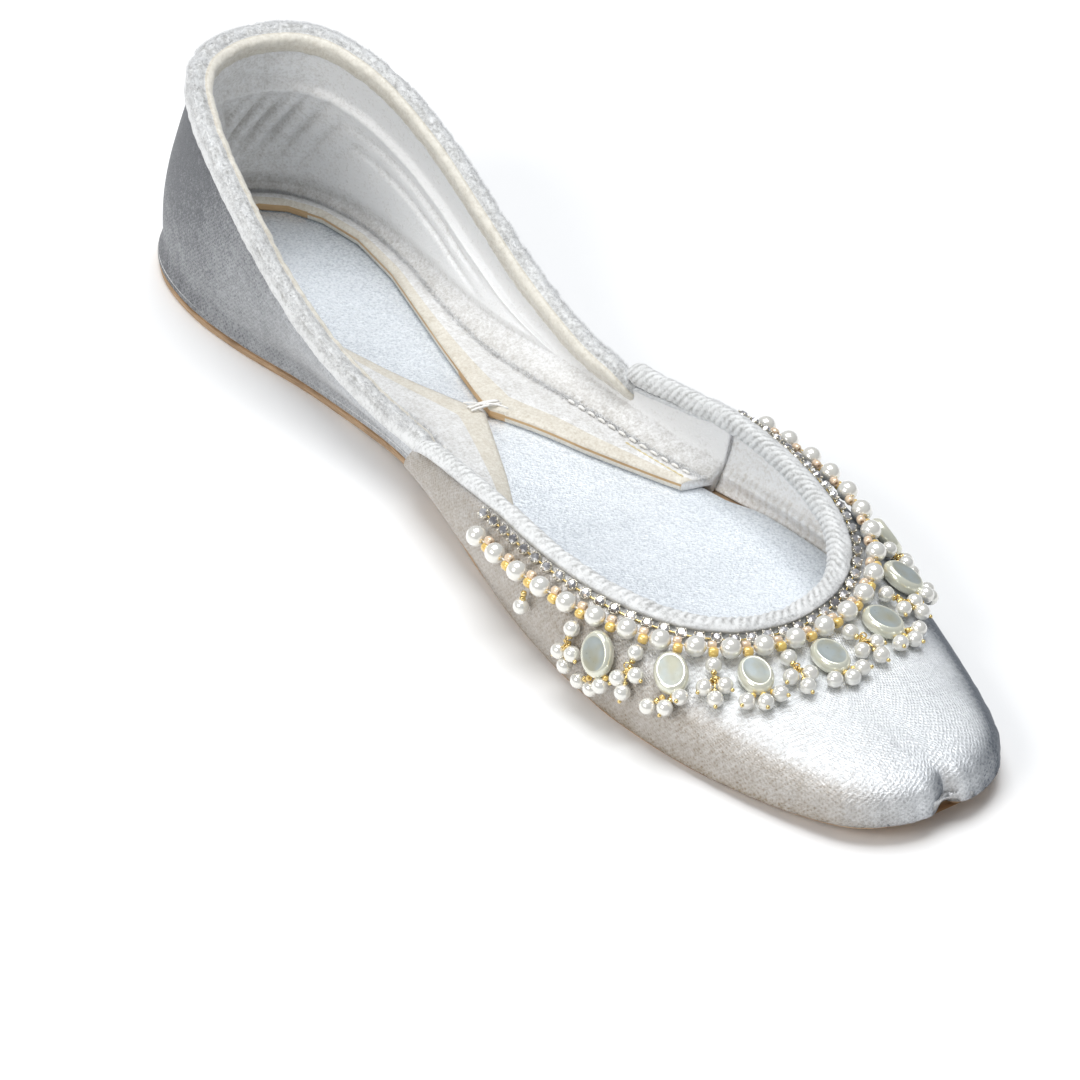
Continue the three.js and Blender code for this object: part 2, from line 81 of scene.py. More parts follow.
layerStep = shoe["layer"] + shoe["gap"]
footLift = 2 * layerStep
insoleTop = footLift + shoe["insole"]
flapBottom = insoleTop + shoe["gap"]
flapTop = flapBottom + shoe["flap"]
vampInside = shoe["gap"]
vampOutside = shoe["gap"] + shoe["vampWall"]


# Values between stations

def stationValue(index, name):
    wrapped = np.mod(index, 2 * toe)
    past = wrapped > toe
    value = stations[np.where(past, 2 * toe - wrapped, wrapped), columns.index(name)]
    return np.where(past, -value, value) if name in mirrored else value


def smooth(u, name):
    u = np.asarray(u, float)
    i = np.floor(u).astype(int)
    t = u - i
    a, b, c, d = (stationValue(i + k, name) for k in (-1, 0, 1, 2))
    share = t * t * (3 - 2 * t)
    return (1 - share) * b + (t**3 - 2 * t * t + t) * (c - a) / 2 + share * c + (t**3 - t * t) * (d - b) / 2


def straight(u, name):
    i = np.floor(u).astype(int)
    return stationValue(i, name) * (1 - (u - i)) + stationValue(i + 1, name) * (u - i)


def ease(x, low, high):
    t = np.clip((x - low) / (high - low), 0, 1)
    return t * t * (3 - 2 * t)


def unit(vectors):
    return vectors / np.maximum(np.linalg.norm(vectors, axis=-1, keepdims=True), 1e-12)


def underside(x):
    arch = np.clip((x - shoe["archFrom"]) / (shoe["archTo"] - shoe["archFrom"]), 0, 1)
    spring = np.maximum(0, (x - shoe["springFrom"]) / (shoe["toeTip"] - shoe["springFrom"]))
    return shoe["archHeight"] * np.sin(math.pi * arch) ** 2 + shoe["toeSpring"] * spring**2


def outward(u, x, y):
    dx = smooth(u + 0.02, x) - smooth(u - 0.02, x)
    dy = smooth(u + 0.02, y) - smooth(u - 0.02, y)
    return unit(np.stack([-dy, dx, 0 * dx], -1))


def footPoint(u, inset=0.0):
    point = np.stack([smooth(u, "footX"), smooth(u, "footY"), 0 * np.asarray(u, float)], -1)
    point = point - outward(u, "footX", "footY") * np.asarray(inset)[..., None]
    point[..., 2] = underside(point[..., 0]) + footLift
    return point


def pinchAt(u, y):
    near = np.abs(u - toe) < shoe["pinchReach"]
    return np.where(near, shoe["pinchDepth"] * np.exp(-((y / shoe["pinchWidth"]) ** 2)), 0)


def lastPoint(u, v):
    u, v = np.broadcast_arrays(np.asarray(u, float), np.asarray(v, float))
    foot = footPoint(u)
    top = np.stack([smooth(u, "topX"), smooth(u, "topY"), smooth(u, "topZ")], -1)
    low = foot + outward(u, "footX", "footY") * smooth(u, "bulge")[..., None]
    low[..., 2] += smooth(u, "rise")
    high = top + outward(u, "topX", "topY") * smooth(u, "reach")[..., None]
    high[..., 2] -= smooth(u, "drop")
    w = v[..., None]
    point = foot * (1 - w) ** 3 + low * 3 * w * (1 - w) ** 2 + high * 3 * w * w * (1 - w) + top * w**3
    dent = np.exp(-(((v - shoe["pinchShare"]) / shoe["pinchHeight"]) ** 2))
    point[..., 0] -= pinchAt(u, point[..., 1]) * dent
    return point


def lastNormal(u, v):
    u, v = np.broadcast_arrays(np.asarray(u, float), np.asarray(v, float))
    along = lastPoint(u + 0.02, v) - lastPoint(u - 0.02, v)
    up = lastPoint(u, np.minimum(1, v + 0.02)) - lastPoint(u, np.maximum(0, v - 0.02))
    return -unit(np.cross(along, up))


def upperPoint(u, v, offset):
    offset = np.asarray(offset, float)
    return lastPoint(u, v) + lastNormal(u, v) * offset[..., None]


def heelWall(u):
    return shoe["wall"] + shoe["heelPadding"] * np.exp(-((u / shoe["heelPaddingReach"]) ** 2))


# Repeatable soft noise between -1 and 1, with lumps of the given size
def softNoise(points, size, seed=0):
    p = np.asarray(points) / size + seed * 17.31
    cell = np.floor(p).astype(np.int64)
    f = p - cell
    f = f * f * (3 - 2 * f)
    total = np.zeros(p.shape[:-1])
    for corner in np.ndindex(2, 2, 2):
        c = cell + np.array(corner)
        h = (c[..., 0] * 73856093) ^ (c[..., 1] * 19349663) ^ (c[..., 2] * 83492791)
        h = ((h ^ (h >> 13)) * 1274126177) & 0xFFFFFF
        weight = np.prod(np.where(np.array(corner) == 1, f, 1 - f), axis=-1)
        total += weight * ((h / 0x7FFFFF) - 1)
    return total


# Mesh helpers: points in millimetres go in, an object in metres comes out

def makePiece(name, points, faces, materials, faceSlots=None, uv=None, shade=None, warm=None, flat=False):
    points = np.asarray(points, float).reshape(-1, 3)
    world = (points - np.array([shoe["middle"], 0, 0])) * 0.001
    mesh = bpy.data.meshes.new(name)
    mesh.from_pydata(world.tolist(), [], [tuple(int(i) for i in face) for face in faces])
    for material in materials:
        mesh.materials.append(material)
    if faceSlots is not None:
        mesh.polygons.foreach_set("material_index", np.asarray(faceSlots, dtype=np.int32))
    corner = np.empty(len(mesh.loops), dtype=np.int32)
    mesh.loops.foreach_get("vertex_index", corner)
    if uv is not None:
        layer = mesh.uv_layers.new(name="cloth")
        layer.data.foreach_set("uv", np.asarray(uv, float).reshape(-1, 2)[corner].ravel())
    # painted shade, and the warm tint of that painted shade, kept on the points for the velvet materials
    for label, values in (("napShade", shade), ("napWarm", warm)):
        if values is not None:
            mesh.attributes.new(label, "FLOAT", "POINT")
            mesh.attributes[label].data.foreach_set("value", np.asarray(values, float).ravel())
    mesh.polygons.foreach_set("use_smooth", np.full(len(mesh.polygons), not flat))
    work = bmesh.new()
    work.from_mesh(mesh)
    bmesh.ops.remove_doubles(work, verts=work.verts, dist=2e-6)
    bmesh.ops.dissolve_degenerate(work, edges=work.edges, dist=1e-7)
    bmesh.ops.recalc_face_normals(work, faces=work.faces)
    work.to_mesh(mesh)
    work.free()
    piece = bpy.data.objects.new(name, mesh)
    bpy.context.scene.collection.objects.link(piece)
    return piece


def settle(piece, slotName, *nodes):
    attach(piece, "root")
    if nodes:
        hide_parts(*nodes)
    print("piece", piece.name, len(piece.data.polygons), "faces")


# Faces of a grid of rows and columns; a ring closes across its columns
def gridFaces(rows, cols, ring=False, capEnds=False):
    faces = []
    for r in range(rows - 1):
        for c in range(cols if ring else cols - 1):
            d = (c + 1) % cols
            faces.append((r * cols + c, r * cols + d, (r + 1) * cols + d, (r + 1) * cols + c))
    if capEnds:
        faces.append(tuple(range(cols)))
        faces.append(tuple(range((rows - 1) * cols, rows * cols))[::-1])
    return faces


def clothLengths(grid):
    down = np.linalg.norm(np.diff(grid, axis=1), axis=-1)
    across = np.linalg.norm(np.diff(grid, axis=0), axis=-1).mean(axis=1)
    t = np.concatenate([np.zeros((grid.shape[0], 1)), np.cumsum(down, axis=1)], axis=1)
    s = np.concatenate([[0], np.cumsum(across)])[:, None] + 0 * t
    return np.stack([s, t], -1)


# A solid of revolution about z from (radius, height) pairs, as points and faces
def lathe(profile, sides):
    points, faces, rings = [], [], []
    for radius, height in profile:
        if radius < 1e-6:
            rings.append([len(points)])
            points.append((0, 0, height))
        else:
            rings.append(list(range(len(points), len(points) + sides)))
            for k in range(sides):
                angle = 2 * math.pi * k / sides
                points.append((radius * math.cos(angle), radius * math.sin(angle), height))
    for a, b in zip(rings, rings[1:]):
        for k in range(sides):
            n = (k + 1) % sides
            if len(a) == 1 and len(b) > 1:
                faces.append((a[0], b[n], b[k]))
            elif len(b) == 1 and len(a) > 1:
                faces.append((a[k], a[n], b[0]))
            elif len(a) > 1:
                faces.append((a[k], a[n], b[n], b[k]))
    return np.array(points, float), faces


def ballForm(diameter, sides=20, rings=12):
    angles = np.linspace(0, math.pi, rings + 1)
    return lathe([(diameter / 2 * math.sin(a), -diameter / 2 * math.cos(a)) for a in angles], sides)


# A seed bead: a short tube with rounded shoulders, its hole along z
def seedForm(diameter, length, hole, sides=14):
    r, h, w = diameter / 2, length / 2, hole / 2
    profile = [(w, -0.75 * h), (w * 1.3, -h), (0.75 * r, -0.96 * h), (0.96 * r, -0.62 * h), (r, 0),
               (0.96 * r, 0.62 * h), (0.75 * r, 0.96 * h), (w * 1.3, h), (w, 0.75 * h), (w, -0.75 * h)]
    return lathe(profile, sides)


# A ring of round wire about z
def ringForm(diameter, wire, around=18, sides=7):
    points, faces = [], []
    for i in range(around):
        a = 2 * math.pi * i / around
        for k in range(sides):
            b = 2 * math.pi * k / sides
            r = diameter / 2 + wire / 2 * math.cos(b)
            points.append((r * math.cos(a), r * math.sin(a), wire / 2 * math.sin(b)))
            faces.append((i * sides + k, i * sides + (k + 1) % sides,
                          ((i + 1) % around) * sides + (k + 1) % sides, ((i + 1) % around) * sides + k))
    return np.array(points), faces


# A round cord along points, with a radius for each point and closed ends
def cordForm(points, radius, sides=8):
    points = np.asarray(points, float)
    radius = np.broadcast_to(radius, len(points))
    tangent = unit(np.gradient(points, axis=0))
    normal = unit(np.cross(tangent[0], [0.3, 0.2, 1.0]))
    rings = []
    for i, t in enumerate(tangent):
        normal = unit(normal - t * np.dot(normal, t))
        side = np.cross(t, normal)
        angles = np.linspace(0, 2 * math.pi, sides, endpoint=False)
        circle = np.cos(angles)[:, None] * normal + np.sin(angles)[:, None] * side
        rings.append(points[i] + radius[i] * circle)
    return np.concatenate(rings), gridFaces(len(points), sides, ring=True, capEnds=True)


def aimed(form, at, axis, turn=0.0):
    points, faces = form
    z = Vector(axis).normalized()
    turned = z.to_track_quat("Z", "Y").to_matrix() @ Matrix.Rotation(turn, 3, "Z")
    return points @ np.array(turned).T + np.asarray(at), faces


# Joins forms of one piece; each entry is (form, material slot)
def joinForms(entries):
    points, faces, slots, start = [], [], [], 0
    for (p, f), slotIndex in entries:
        points.append(p)
        faces.extend([tuple(i + start for i in face) for face in f])
        slots.extend([slotIndex] * len(f))
        start += len(p)
    return np.concatenate(points), faces, slots


# Short closed spikes that stand off a surface as nap
def fibreForm(base, direction, length, width, seed):
    rng = np.random.default_rng(seed)
    count = len(base)
    lean = unit(direction + rng.normal(0, 0.45, (count, 3)))
    first = unit(np.cross(lean, rng.normal(0, 1, (count, 3))))
    second = np.cross(lean, first)
    root = base - direction * 0.12
    tips = base + lean * (length * rng.uniform(0.45, 1.15, count))[:, None]
    corners = [root + width * first, root + width * (-0.5 * first + 0.87 * second),
               root + width * (-0.5 * first - 0.87 * second), tips]
    points = np.stack(corners, 1).reshape(-1, 3)
    k = np.arange(count)[:, None] * 4
    faces = np.concatenate([k + [0, 2, 1], k + [0, 1, 3], k + [1, 2, 3], k + [2, 0, 3]])
    return points, [tuple(f) for f in faces.tolist()]


# Node helpers

def newGroup(name, inputs, outputs):
    group = bpy.data.node_groups.new(name, "ShaderNodeTree")
    for label, kind, value in inputs:
        socket = group.interface.new_socket(label, in_out="INPUT", socket_type=kind)
        if value is not None:
            socket.default_value = value
    for label, kind in outputs:
        group.interface.new_socket(label, in_out="OUTPUT", socket_type=kind)
    start = group.nodes.new("NodeGroupInput")
    end = group.nodes.new("NodeGroupOutput")
    return group, start, end


def addNode(tree, kind, links=None, **settings):
    node = tree.nodes.new(kind)
    for key, value in settings.items():
        setattr(node, key, value)
    for socket, source in (links or {}).items():
        if isinstance(source, bpy.types.NodeSocket):
            tree.links.new(source, node.inputs[socket])
        else:
            node.inputs[socket].default_value = source
    return node


def mathNode(tree, operation, a, b=0.0, clamp=False):
    return addNode(tree, "ShaderNodeMath", {0: a, 1: b}, operation=operation, use_clamp=clamp).outputs[0]


def mixColour(tree, factor, a, b, blend="MIX"):
    node = addNode(tree, "ShaderNodeMix", {0: factor, 6: a, 7: b}, data_type="RGBA", blend_type=blend)
    return node.outputs[2]


def remap(tree, value, low, high, toLow=0.0, toHigh=1.0):
    return addNode(tree, "ShaderNodeMapRange", {0: value, 1: low, 2: high, 3: toLow, 4: toHigh}).outputs[0]


def noiseNode(tree, place, scale, detail, roughness=0.5):
    links = {"Vector": place, "Scale": scale, "Detail": detail, "Roughness": roughness}
    return addNode(tree, "ShaderNodeTexNoise", links).outputs[0]


def product(tree, a, b):
    return mathNode(tree, "MULTIPLY", a, b)


# Every effect gives a colour, a roughness and a height for the relief
effectOutputs = [("Color", "NodeSocketColor"), ("Roughness", "NodeSocketFloat"), ("Height", "NodeSocketFloat")]


# Velvet: pile crushed in soft patches, a broken slanting weave under it, and fine bright and dark tufts, over
# painted shade from the Shade input, which Warm makes warmer
def buildVelvetGroup():
    colours = {"Pale": (0.9, 0.9, 0.9, 1), "Deep": (0.5, 0.52, 0.55, 1), "WarmDeep": (0.45, 0.42, 0.36, 1)}
    amounts = {"Shade": 0.0, "Warm": 0.0, "Clouds": 0.1, "Crush": 0.1, "Weave": 0.5, "Tufts": 0.4, "Pitch": 0.9}
    inputs = [(label, "NodeSocketColor", value) for label, value in colours.items()]
    inputs += [(label, "NodeSocketFloat", value) for label, value in amounts.items()]
    group, start, end = newGroup("velvetPile", inputs, effectOutputs)
    place = addNode(group, "ShaderNodeTexCoord").outputs["Object"]
    cloth = addNode(group, "ShaderNodeUVMap", uv_map="cloth").outputs[0]
    clouds = noiseNode(group, place, 70.0, 2.0)
    crush = noiseNode(group, place, 430.0, 3.0, 0.6)
    tufts = noiseNode(group, place, 1500.0, 3.0, 0.75)
    # the weave's two slanting ribs, bent a little and broken up by the pile
    split = addNode(group, "ShaderNodeSeparateXYZ", {"Vector": cloth})
    along, across = split.outputs[0], split.outputs[1]
    warp = remap(group, crush, 0, 1, -1.0, 1.0)
    turn = mathNode(group, "DIVIDE", 2 * math.pi, start.outputs["Pitch"])
    rising = mathNode(group, "ADD", mathNode(group, "ADD", along, across), warp)
    falling = mathNode(group, "SUBTRACT", mathNode(group, "SUBTRACT", along, across), warp)
    risingRib = mathNode(group, "SINE", product(group, rising, turn))
    fallingRib = mathNode(group, "SINE", product(group, falling, turn))
    ribs = mathNode(group, "MAXIMUM", risingRib, product(group, fallingRib, 0.7))
    broken = product(group, ribs, remap(group, tufts, 0.35, 0.6, 0.3, 1.0))
    weave = product(group, broken, start.outputs["Weave"])
    # how much of the deep colour shows: the painted shade from the Shade input, with the texture's patches,
    # tufts and weave on top
    total = mathNode(group, "ADD", start.outputs["Shade"], 0.1)
    for texture, low, high, label in ((clouds, 0.3, 0.7, "Clouds"), (crush, 0.32, 0.68, "Crush"),
                                      (tufts, 0.32, 0.68, "Tufts")):
        part = product(group, remap(group, texture, low, high, -0.5, 0.5), start.outputs[label])
        total = mathNode(group, "ADD", total, part)
    total = mathNode(group, "ADD", total, product(group, weave, -0.18))
    share = mathNode(group, "MAXIMUM", total, 0.0, clamp=True)
    deep = mixColour(group, start.outputs["Warm"], start.outputs["Deep"], start.outputs["WarmDeep"])
    group.links.new(mixColour(group, share, start.outputs["Pale"], deep), end.inputs["Color"])
    rough = mathNode(group, "ADD", remap(group, tufts, 0.3, 0.7, 0.38, 0.62), product(group, share, 0.15))
    group.links.new(rough, end.inputs["Roughness"])
    pile = mathNode(group, "ADD", tufts, product(group, crush, 0.7))
    group.links.new(mathNode(group, "ADD", product(group, weave, 0.7), pile), end.inputs["Height"])
    return group


# Leather: fine grain, uneven dye and dark fibres at a cut edge
def buildLeatherGroup():
    inputs = [("Light", "NodeSocketColor", (0.7, 0.5, 0.32, 1)),
              ("Dark", "NodeSocketColor", (0.35, 0.22, 0.12, 1)),
              ("Grain", "NodeSocketFloat", 900.0), ("Fibres", "NodeSocketFloat", 0.4)]
    group, start, end = newGroup("leatherGrain", inputs, effectOutputs)
    place = addNode(group, "ShaderNodeTexCoord").outputs["Object"]
    dye = noiseNode(group, place, 60.0, 6.0)
    cells = addNode(group, "ShaderNodeTexVoronoi", {"Vector": place, "Scale": start.outputs["Grain"]})
    stretched = addNode(group, "ShaderNodeMapping", {"Vector": place, "Scale": (160, 160, 2600)}).outputs[0]
    fibres = noiseNode(group, stretched, 1.0, 4.0)
    streaks = product(group, remap(group, fibres, 0.4, 0.62), start.outputs["Fibres"])
    share = mathNode(group, "ADD", remap(group, dye, 0.35, 0.7, 0.0, 0.55), streaks, clamp=True)
    colour = mixColour(group, share, start.outputs["Light"], start.outputs["Dark"])
    group.links.new(colour, end.inputs["Color"])
    group.links.new(remap(group, dye, 0.3, 0.7, 0.55, 0.78), end.inputs["Roughness"])
    grain = product(group, cells.outputs["Distance"], 0.6)
    group.links.new(mathNode(group, "ADD", grain, product(group, fibres, 0.6)), end.inputs["Height"])
    return group


# Pearl coating: slow tint changes and tiny pits
def buildPearlGroup():
    inputs = [("Body", "NodeSocketColor", (0.9, 0.86, 0.76, 1)),
              ("Tint", "NodeSocketColor", (0.8, 0.84, 0.84, 1)),
              ("Amount", "NodeSocketFloat", 0.5), ("Matt", "NodeSocketFloat", 0.0)]
    group, start, end = newGroup("pearlCoat", inputs, effectOutputs)
    place = addNode(group, "ShaderNodeTexCoord").outputs["Object"]
    slow = noiseNode(group, place, 260.0, 2.0)
    pits = noiseNode(group, place, 1500.0, 3.0)
    share = product(group, remap(group, slow, 0.35, 0.65), start.outputs["Amount"])
    group.links.new(mixColour(group, share, start.outputs["Body"], start.outputs["Tint"]), end.inputs["Color"])
    rough = mathNode(group, "ADD", remap(group, pits, 0.3, 0.7, 0.12, 0.26), start.outputs["Matt"])
    group.links.new(rough, end.inputs["Roughness"])
    group.links.new(pits, end.inputs["Height"])
    return group


velvetPile = buildVelvetGroup()
leatherGrain = buildLeatherGroup()
pearlCoat = buildPearlGroup()


# A material of one group on the Principled shader; constant values sit on the shader's own sockets
def makeMaterial(name, group, groupValues, bump, strength, nap=(), **shaderValues):
    material = bpy.data.materials.new(name)
    material.use_nodes = True
    tree = material.node_tree
    shader = tree.nodes["Principled BSDF"]
    effect = addNode(tree, "ShaderNodeGroup", node_tree=group)
    for label, value in groupValues.items():
        effect.inputs[label].default_value = value
    # the painted shade and its warm tint come in from the points' attributes
    for label in nap:
        value = addNode(tree, "ShaderNodeAttribute", attribute_name="nap" + label)
        tree.links.new(value.outputs["Fac"], effect.inputs[label])
    tree.links.new(effect.outputs["Color"], shader.inputs["Base Color"])
    tree.links.new(effect.outputs["Roughness"], shader.inputs["Roughness"])
    links = {"Height": effect.outputs["Height"], "Distance": bump, "Strength": strength}
    relief = addNode(tree, "ShaderNodeBump", links)
    tree.links.new(relief.outputs[0], shader.inputs["Normal"])
    for label, value in shaderValues.items():
        shader.inputs[label.replace("_", " ")].default_value = value
    return material


def velvetMaterial(name, colours, amounts, bump, **shaderValues):
    values = {label: (*colour, 1) for label, colour in zip(("Pale", "Deep", "WarmDeep"), colours)}
    values.update(zip(("Clouds", "Crush", "Weave", "Tufts", "Pitch"), amounts))
    return makeMaterial(name, velvetPile, values, bump, 0.55, nap=("Shade", "Warm"), **shaderValues)


def leatherMaterial(name, light, dark, grain, fibres, bump, **shaderValues):
    values = {"Light": (*light, 1), "Dark": (*dark, 1), "Grain": grain, "Fibres": fibres}
    return makeMaterial(name, leatherGrain, values, bump, 0.5, **shaderValues)


def pearlMaterial(name, body, tint, amount, bump, strength, matt=0.0, **shaderValues):
    values = {"Body": (*body, 1), "Tint": (*tint, 1), "Amount": amount, "Matt": matt}
    return makeMaterial(name, pearlCoat, values, bump, strength, **shaderValues)


velvet = velvetMaterial(
    "velvet", [(0.9, 0.92, 0.94), (0.15, 0.17, 0.2), (0.34, 0.27, 0.19)], (0.1, 0.12, 0.7, 0.3, 1.05),
    0.0003, Metallic=0.7, Sheen_Weight=0.15, Sheen_Roughness=0.4)
liningVelvet = velvetMaterial(
    "liningVelvet", [(0.98, 0.985, 0.99), (0.36, 0.37, 0.38), (0.5, 0.44, 0.35)], (0.1, 0.25, 0.1, 0.5, 1.1),
    0.0004, Metallic=0.25, Sheen_Weight=0.4, Sheen_Roughness=0.45)
insoleVelvet = velvetMaterial(
    "insoleVelvet", [(0.9, 0.94, 0.98), (0.22, 0.26, 0.31), (0.45, 0.43, 0.4)], (0.12, 0.1, 0.25, 0.6, 1.0),
    0.00035, Metallic=0.65, Sheen_Weight=0.3, Sheen_Roughness=0.4)
creamVelvet = velvetMaterial(
    "creamVelvet", [(0.82, 0.79, 0.71), (0.5, 0.45, 0.36), (0.5, 0.42, 0.31)], (0.1, 0.25, 0.0, 0.6, 1.0),
    0.00025, Sheen_Weight=0.4, Sheen_Roughness=0.5)
rollVelvet = velvetMaterial(
    "rollVelvet", [(0.82, 0.83, 0.83), (0.36, 0.36, 0.35), (0.5, 0.44, 0.36)], (0.15, 0.4, 0.0, 0.8, 1.0),
    0.0003, Sheen_Weight=0.6, Sheen_Roughness=0.5)
napFibre = velvetMaterial(
    "napFibre", [(0.9, 0.91, 0.92), (0.42, 0.41, 0.4), (0.7, 0.64, 0.55)], (0.1, 0.35, 0.0, 0.9, 1.0),
    0.0001, Sheen_Weight=0.5, Sheen_Roughness=0.5)
soleLeather = leatherMaterial("soleLeather", (0.62, 0.43, 0.26), (0.3, 0.19, 0.11), 900.0, 0.5, 0.0001)
rawEdge = leatherMaterial("rawEdge", (0.72, 0.5, 0.27), (0.45, 0.29, 0.15), 1600.0, 0.35, 0.0001)
whiteThread = leatherMaterial("whiteThread", (0.95, 0.94, 0.92), (0.82, 0.8, 0.75), 2500.0, 0.3, 0.00008,
                              Sheen_Weight=0.3)
yellowThread = leatherMaterial("yellowThread", (0.8, 0.7, 0.42), (0.6, 0.5, 0.3), 2500.0, 0.3, 0.00008,
                               Sheen_Weight=0.3)
pearl = pearlMaterial("pearl", (0.94, 0.92, 0.86), (0.88, 0.89, 0.86), 0.5, 0.00002, 0.2,
                      Metallic=0.45, Coat_Weight=0.8, Coat_Roughness=0.06)
ovalRim = pearlMaterial("ovalRim", (0.86, 0.85, 0.72), (0.78, 0.8, 0.68), 0.8, 0.00002, 0.2,
                        Metallic=0.4, Coat_Weight=0.9, Coat_Roughness=0.05)
ovalFace = pearlMaterial("ovalFace", (0.36, 0.355, 0.27), (0.38, 0.43, 0.44), 0.9, 0.00003, 0.3, matt=0.15,
                         Metallic=0.15, Coat_Weight=0.0, Coat_Roughness=0.35)
paleMetal = pearlMaterial("paleMetal", (0.86, 0.83, 0.74), (0.66, 0.6, 0.48), 0.6, 0.00002, 0.2, Metallic=1.0)
gold = pearlMaterial("gold", (0.9, 0.71, 0.32), (0.82, 0.6, 0.26), 0.6, 0.00002, 0.2, Metallic=1.0)
amber = pearlMaterial("amberBead", (0.9, 0.66, 0.18), (0.85, 0.55, 0.2), 0.6, 0.00002, 0.1,
                      Metallic=0.25, Coat_Weight=1.0, Coat_Roughness=0.04)
blush = pearlMaterial("blushBead", (0.88, 0.7, 0.5), (0.85, 0.62, 0.45), 0.6, 0.00002, 0.1,
                      Metallic=0.2, Coat_Weight=1.0, Coat_Roughness=0.04)
cutStone = pearlMaterial("cutStone", (0.95, 0.95, 0.97), (0.3, 0.29, 0.31), 0.9, 0.00001, 0.05,
                         Metallic=0.85, Coat_Weight=1.0, Coat_Roughness=0.02)
print("materials made")


# Sole: two leather layers with softly rounded cut edges

soleEdge = {"steps": 240, "across": 25, "round": 0.32, "waver": 0.09}


def slabForm(bottom, top, insetAt, rounding, waver=0.0, seed=1):
    # rings are closer together at both blunt ends
    share = np.linspace(0, 1, soleEdge["steps"])
    u = toe * (0.5 - 0.5 * np.cos(math.pi * share) * (0.55 + 0.45 * np.abs(np.cos(math.pi * share))))
    inset = insetAt(u)
    height = top - bottom
    profile = [(rounding, 0), (0.3 * rounding, 0.12 * height), (0, 0.34 * height), (0, 0.66 * height),
               (0.3 * rounding, 0.88 * height), (rounding, height)]
    edges = []
    for back, lift in profile:
        point = footPoint(u, inset + back)
        point[:, 2] = underside(point[:, 0]) + bottom + lift
        point[:, :2] += outward(u, "footX", "footY")[:, :2] * (waver * softNoise(point, 6.0, seed))[:, None]
        edges.append(point)
    mirror = np.array([1, -1, 1])
    w = np.linspace(1, -1, soleEdge["across"])
    topRow = edges[-1][:, None, :] * np.stack([1 + 0 * w, w, 1 + 0 * w], -1)[None]
    lowRow = edges[0][:, None, :] * np.stack([1 + 0 * w, -w, 1 + 0 * w], -1)[None]
    side = np.stack(edges[1:-1], 1)
    other = np.stack([e * mirror for e in edges[1:-1][::-1]], 1)
    return np.concatenate([side, topRow, other, lowRow], axis=1)


def addSlab(name, nodeName, material, slotName, napDepth=0.0, **sizes):
    rings = slabForm(**sizes)
    # painted shade on the insole cover: darker towards its edges and towards the heel; none where the depth is
    # 0
    reach = np.abs(rings[..., 1]) / np.maximum(np.abs(rings[..., 1]).max(axis=1, keepdims=True), 1)
    shade = napDepth * (0.25 + reach**2) * (1 - 0.75 * ease(rings[..., 0], 60, 150))
    piece = makePiece(name, rings, gridFaces(rings.shape[0], rings.shape[1], ring=True), [material],
                      uv=rings[..., :2], shade=shade)
    settle(piece, slotName, nodeName)
    return piece


# the sole gives way a little under the toe's dent
def soleInset(u):
    return 2.3 * pinchAt(u, smooth(u, "footY")) - shoe["soleMargin"]


addSlab("outsoleLeather", "outsole", soleLeather, "sole_leather", bottom=0, top=shoe["layer"],
        insetAt=soleInset, rounding=soleEdge["round"], waver=soleEdge["waver"], seed=1)
addSlab("middleLeather", "sole_layer", soleLeather, "sole_leather", bottom=layerStep,
        top=layerStep + shoe["layer"], insetAt=soleInset, rounding=soleEdge["round"],
        waver=soleEdge["waver"], seed=4)


def insoleInset(u):
    widened = ease(u, shoe["quarterEnd"] + 0.3, shoe["quarterEnd"] + 1)
    narrow = heelWall(u) + shoe["gap"]
    return narrow * (1 - widened) + shoe["gap"] * widened + 1.1 * pinchAt(u, smooth(u, "footY"))


insoleSizes = {"round": 0.5, "napDepth": 0.3}
addSlab("insoleCover", "insole", insoleVelvet, "insole_velvet", bottom=footLift, top=insoleTop,
        insetAt=insoleInset, rounding=insoleSizes["round"], napDepth=insoleSizes["napDepth"], seed=7)


# Quarter: outside velvet, padded lining, and the strip turned in over the insole, as one skin

quarterCloth = {
    "around": 470, "outerRows": 34, "innerRows": 84, "flapRows": 16, "creamRows": 7, "softness": 0.14,
    "pad": 1.0, "ridge": 0.6, "pleats": 1.6, "grooves": 0.8,
    "lipOut": 1.5, "lipDown": 1.1, "creaseHairs": 12000, "creaseWidth": 1.2, "creaseRise": 1.4,
    "puff": 0.45, "wave": 0.16, "outsideShade": 0.22, "heelShade": 0.9, "stripShade": 0.26,
}


# How far the padded counter stands in from the lining at a share of the side's height, and how strongly painted
# shade darkens its pleats and grooves and a painted highlight lightens its ridge
def padHeight(u, v):
    sizes = quarterCloth
    a = np.abs(u)
    edge = np.interp(a, [0, 1.5, 3, 4.5, 6, 7.5, 8.5], [0.72, 0.72, 0.7, 0.65, 0.57, 0.46, 0.34])
    there = 1 - ease(a, 7.0, 8.6)
    pad = sizes["pad"] * (1 - ease(v, edge - 0.035, edge + 0.02)) * there
    ridge = sizes["ridge"] * np.exp(-(((v - edge + 0.03) / 0.02) ** 2)) * there
    lean = a * 1.7 - 4.5 * (v - 0.4)
    pleatShare = np.exp(-(((a - 0.6) / 2.6) ** 4)) * np.exp(-(((v - 0.46) / 0.17) ** 2))
    pleats = -sizes["pleats"] * pleatShare * (0.5 - 0.5 * np.cos(2 * math.pi * lean)) ** 2.5
    grooveShare = ease(a, 2.8, 4.4) * (1 - ease(a, 5.4, 6.6))
    grooves = 0
    for offset, width in ((0.12, 0.024), (0.23, 0.022)):
        grooves = grooves - sizes["grooves"] * grooveShare * np.exp(-(((v - edge + offset) / width) ** 2))
    return pad + ridge + pleats + grooves, 0.6 * pleats + 0.8 * grooves + 0.4 * ridge


def shareAtHeight(u, height):
    low, high = np.zeros_like(u), np.ones_like(u)
    for _ in range(24):
        middle = (low + high) / 2
        below = lastPoint(u, middle)[..., 2] < height
        low, high = np.where(below, middle, low), np.where(below, high, middle)
    return low


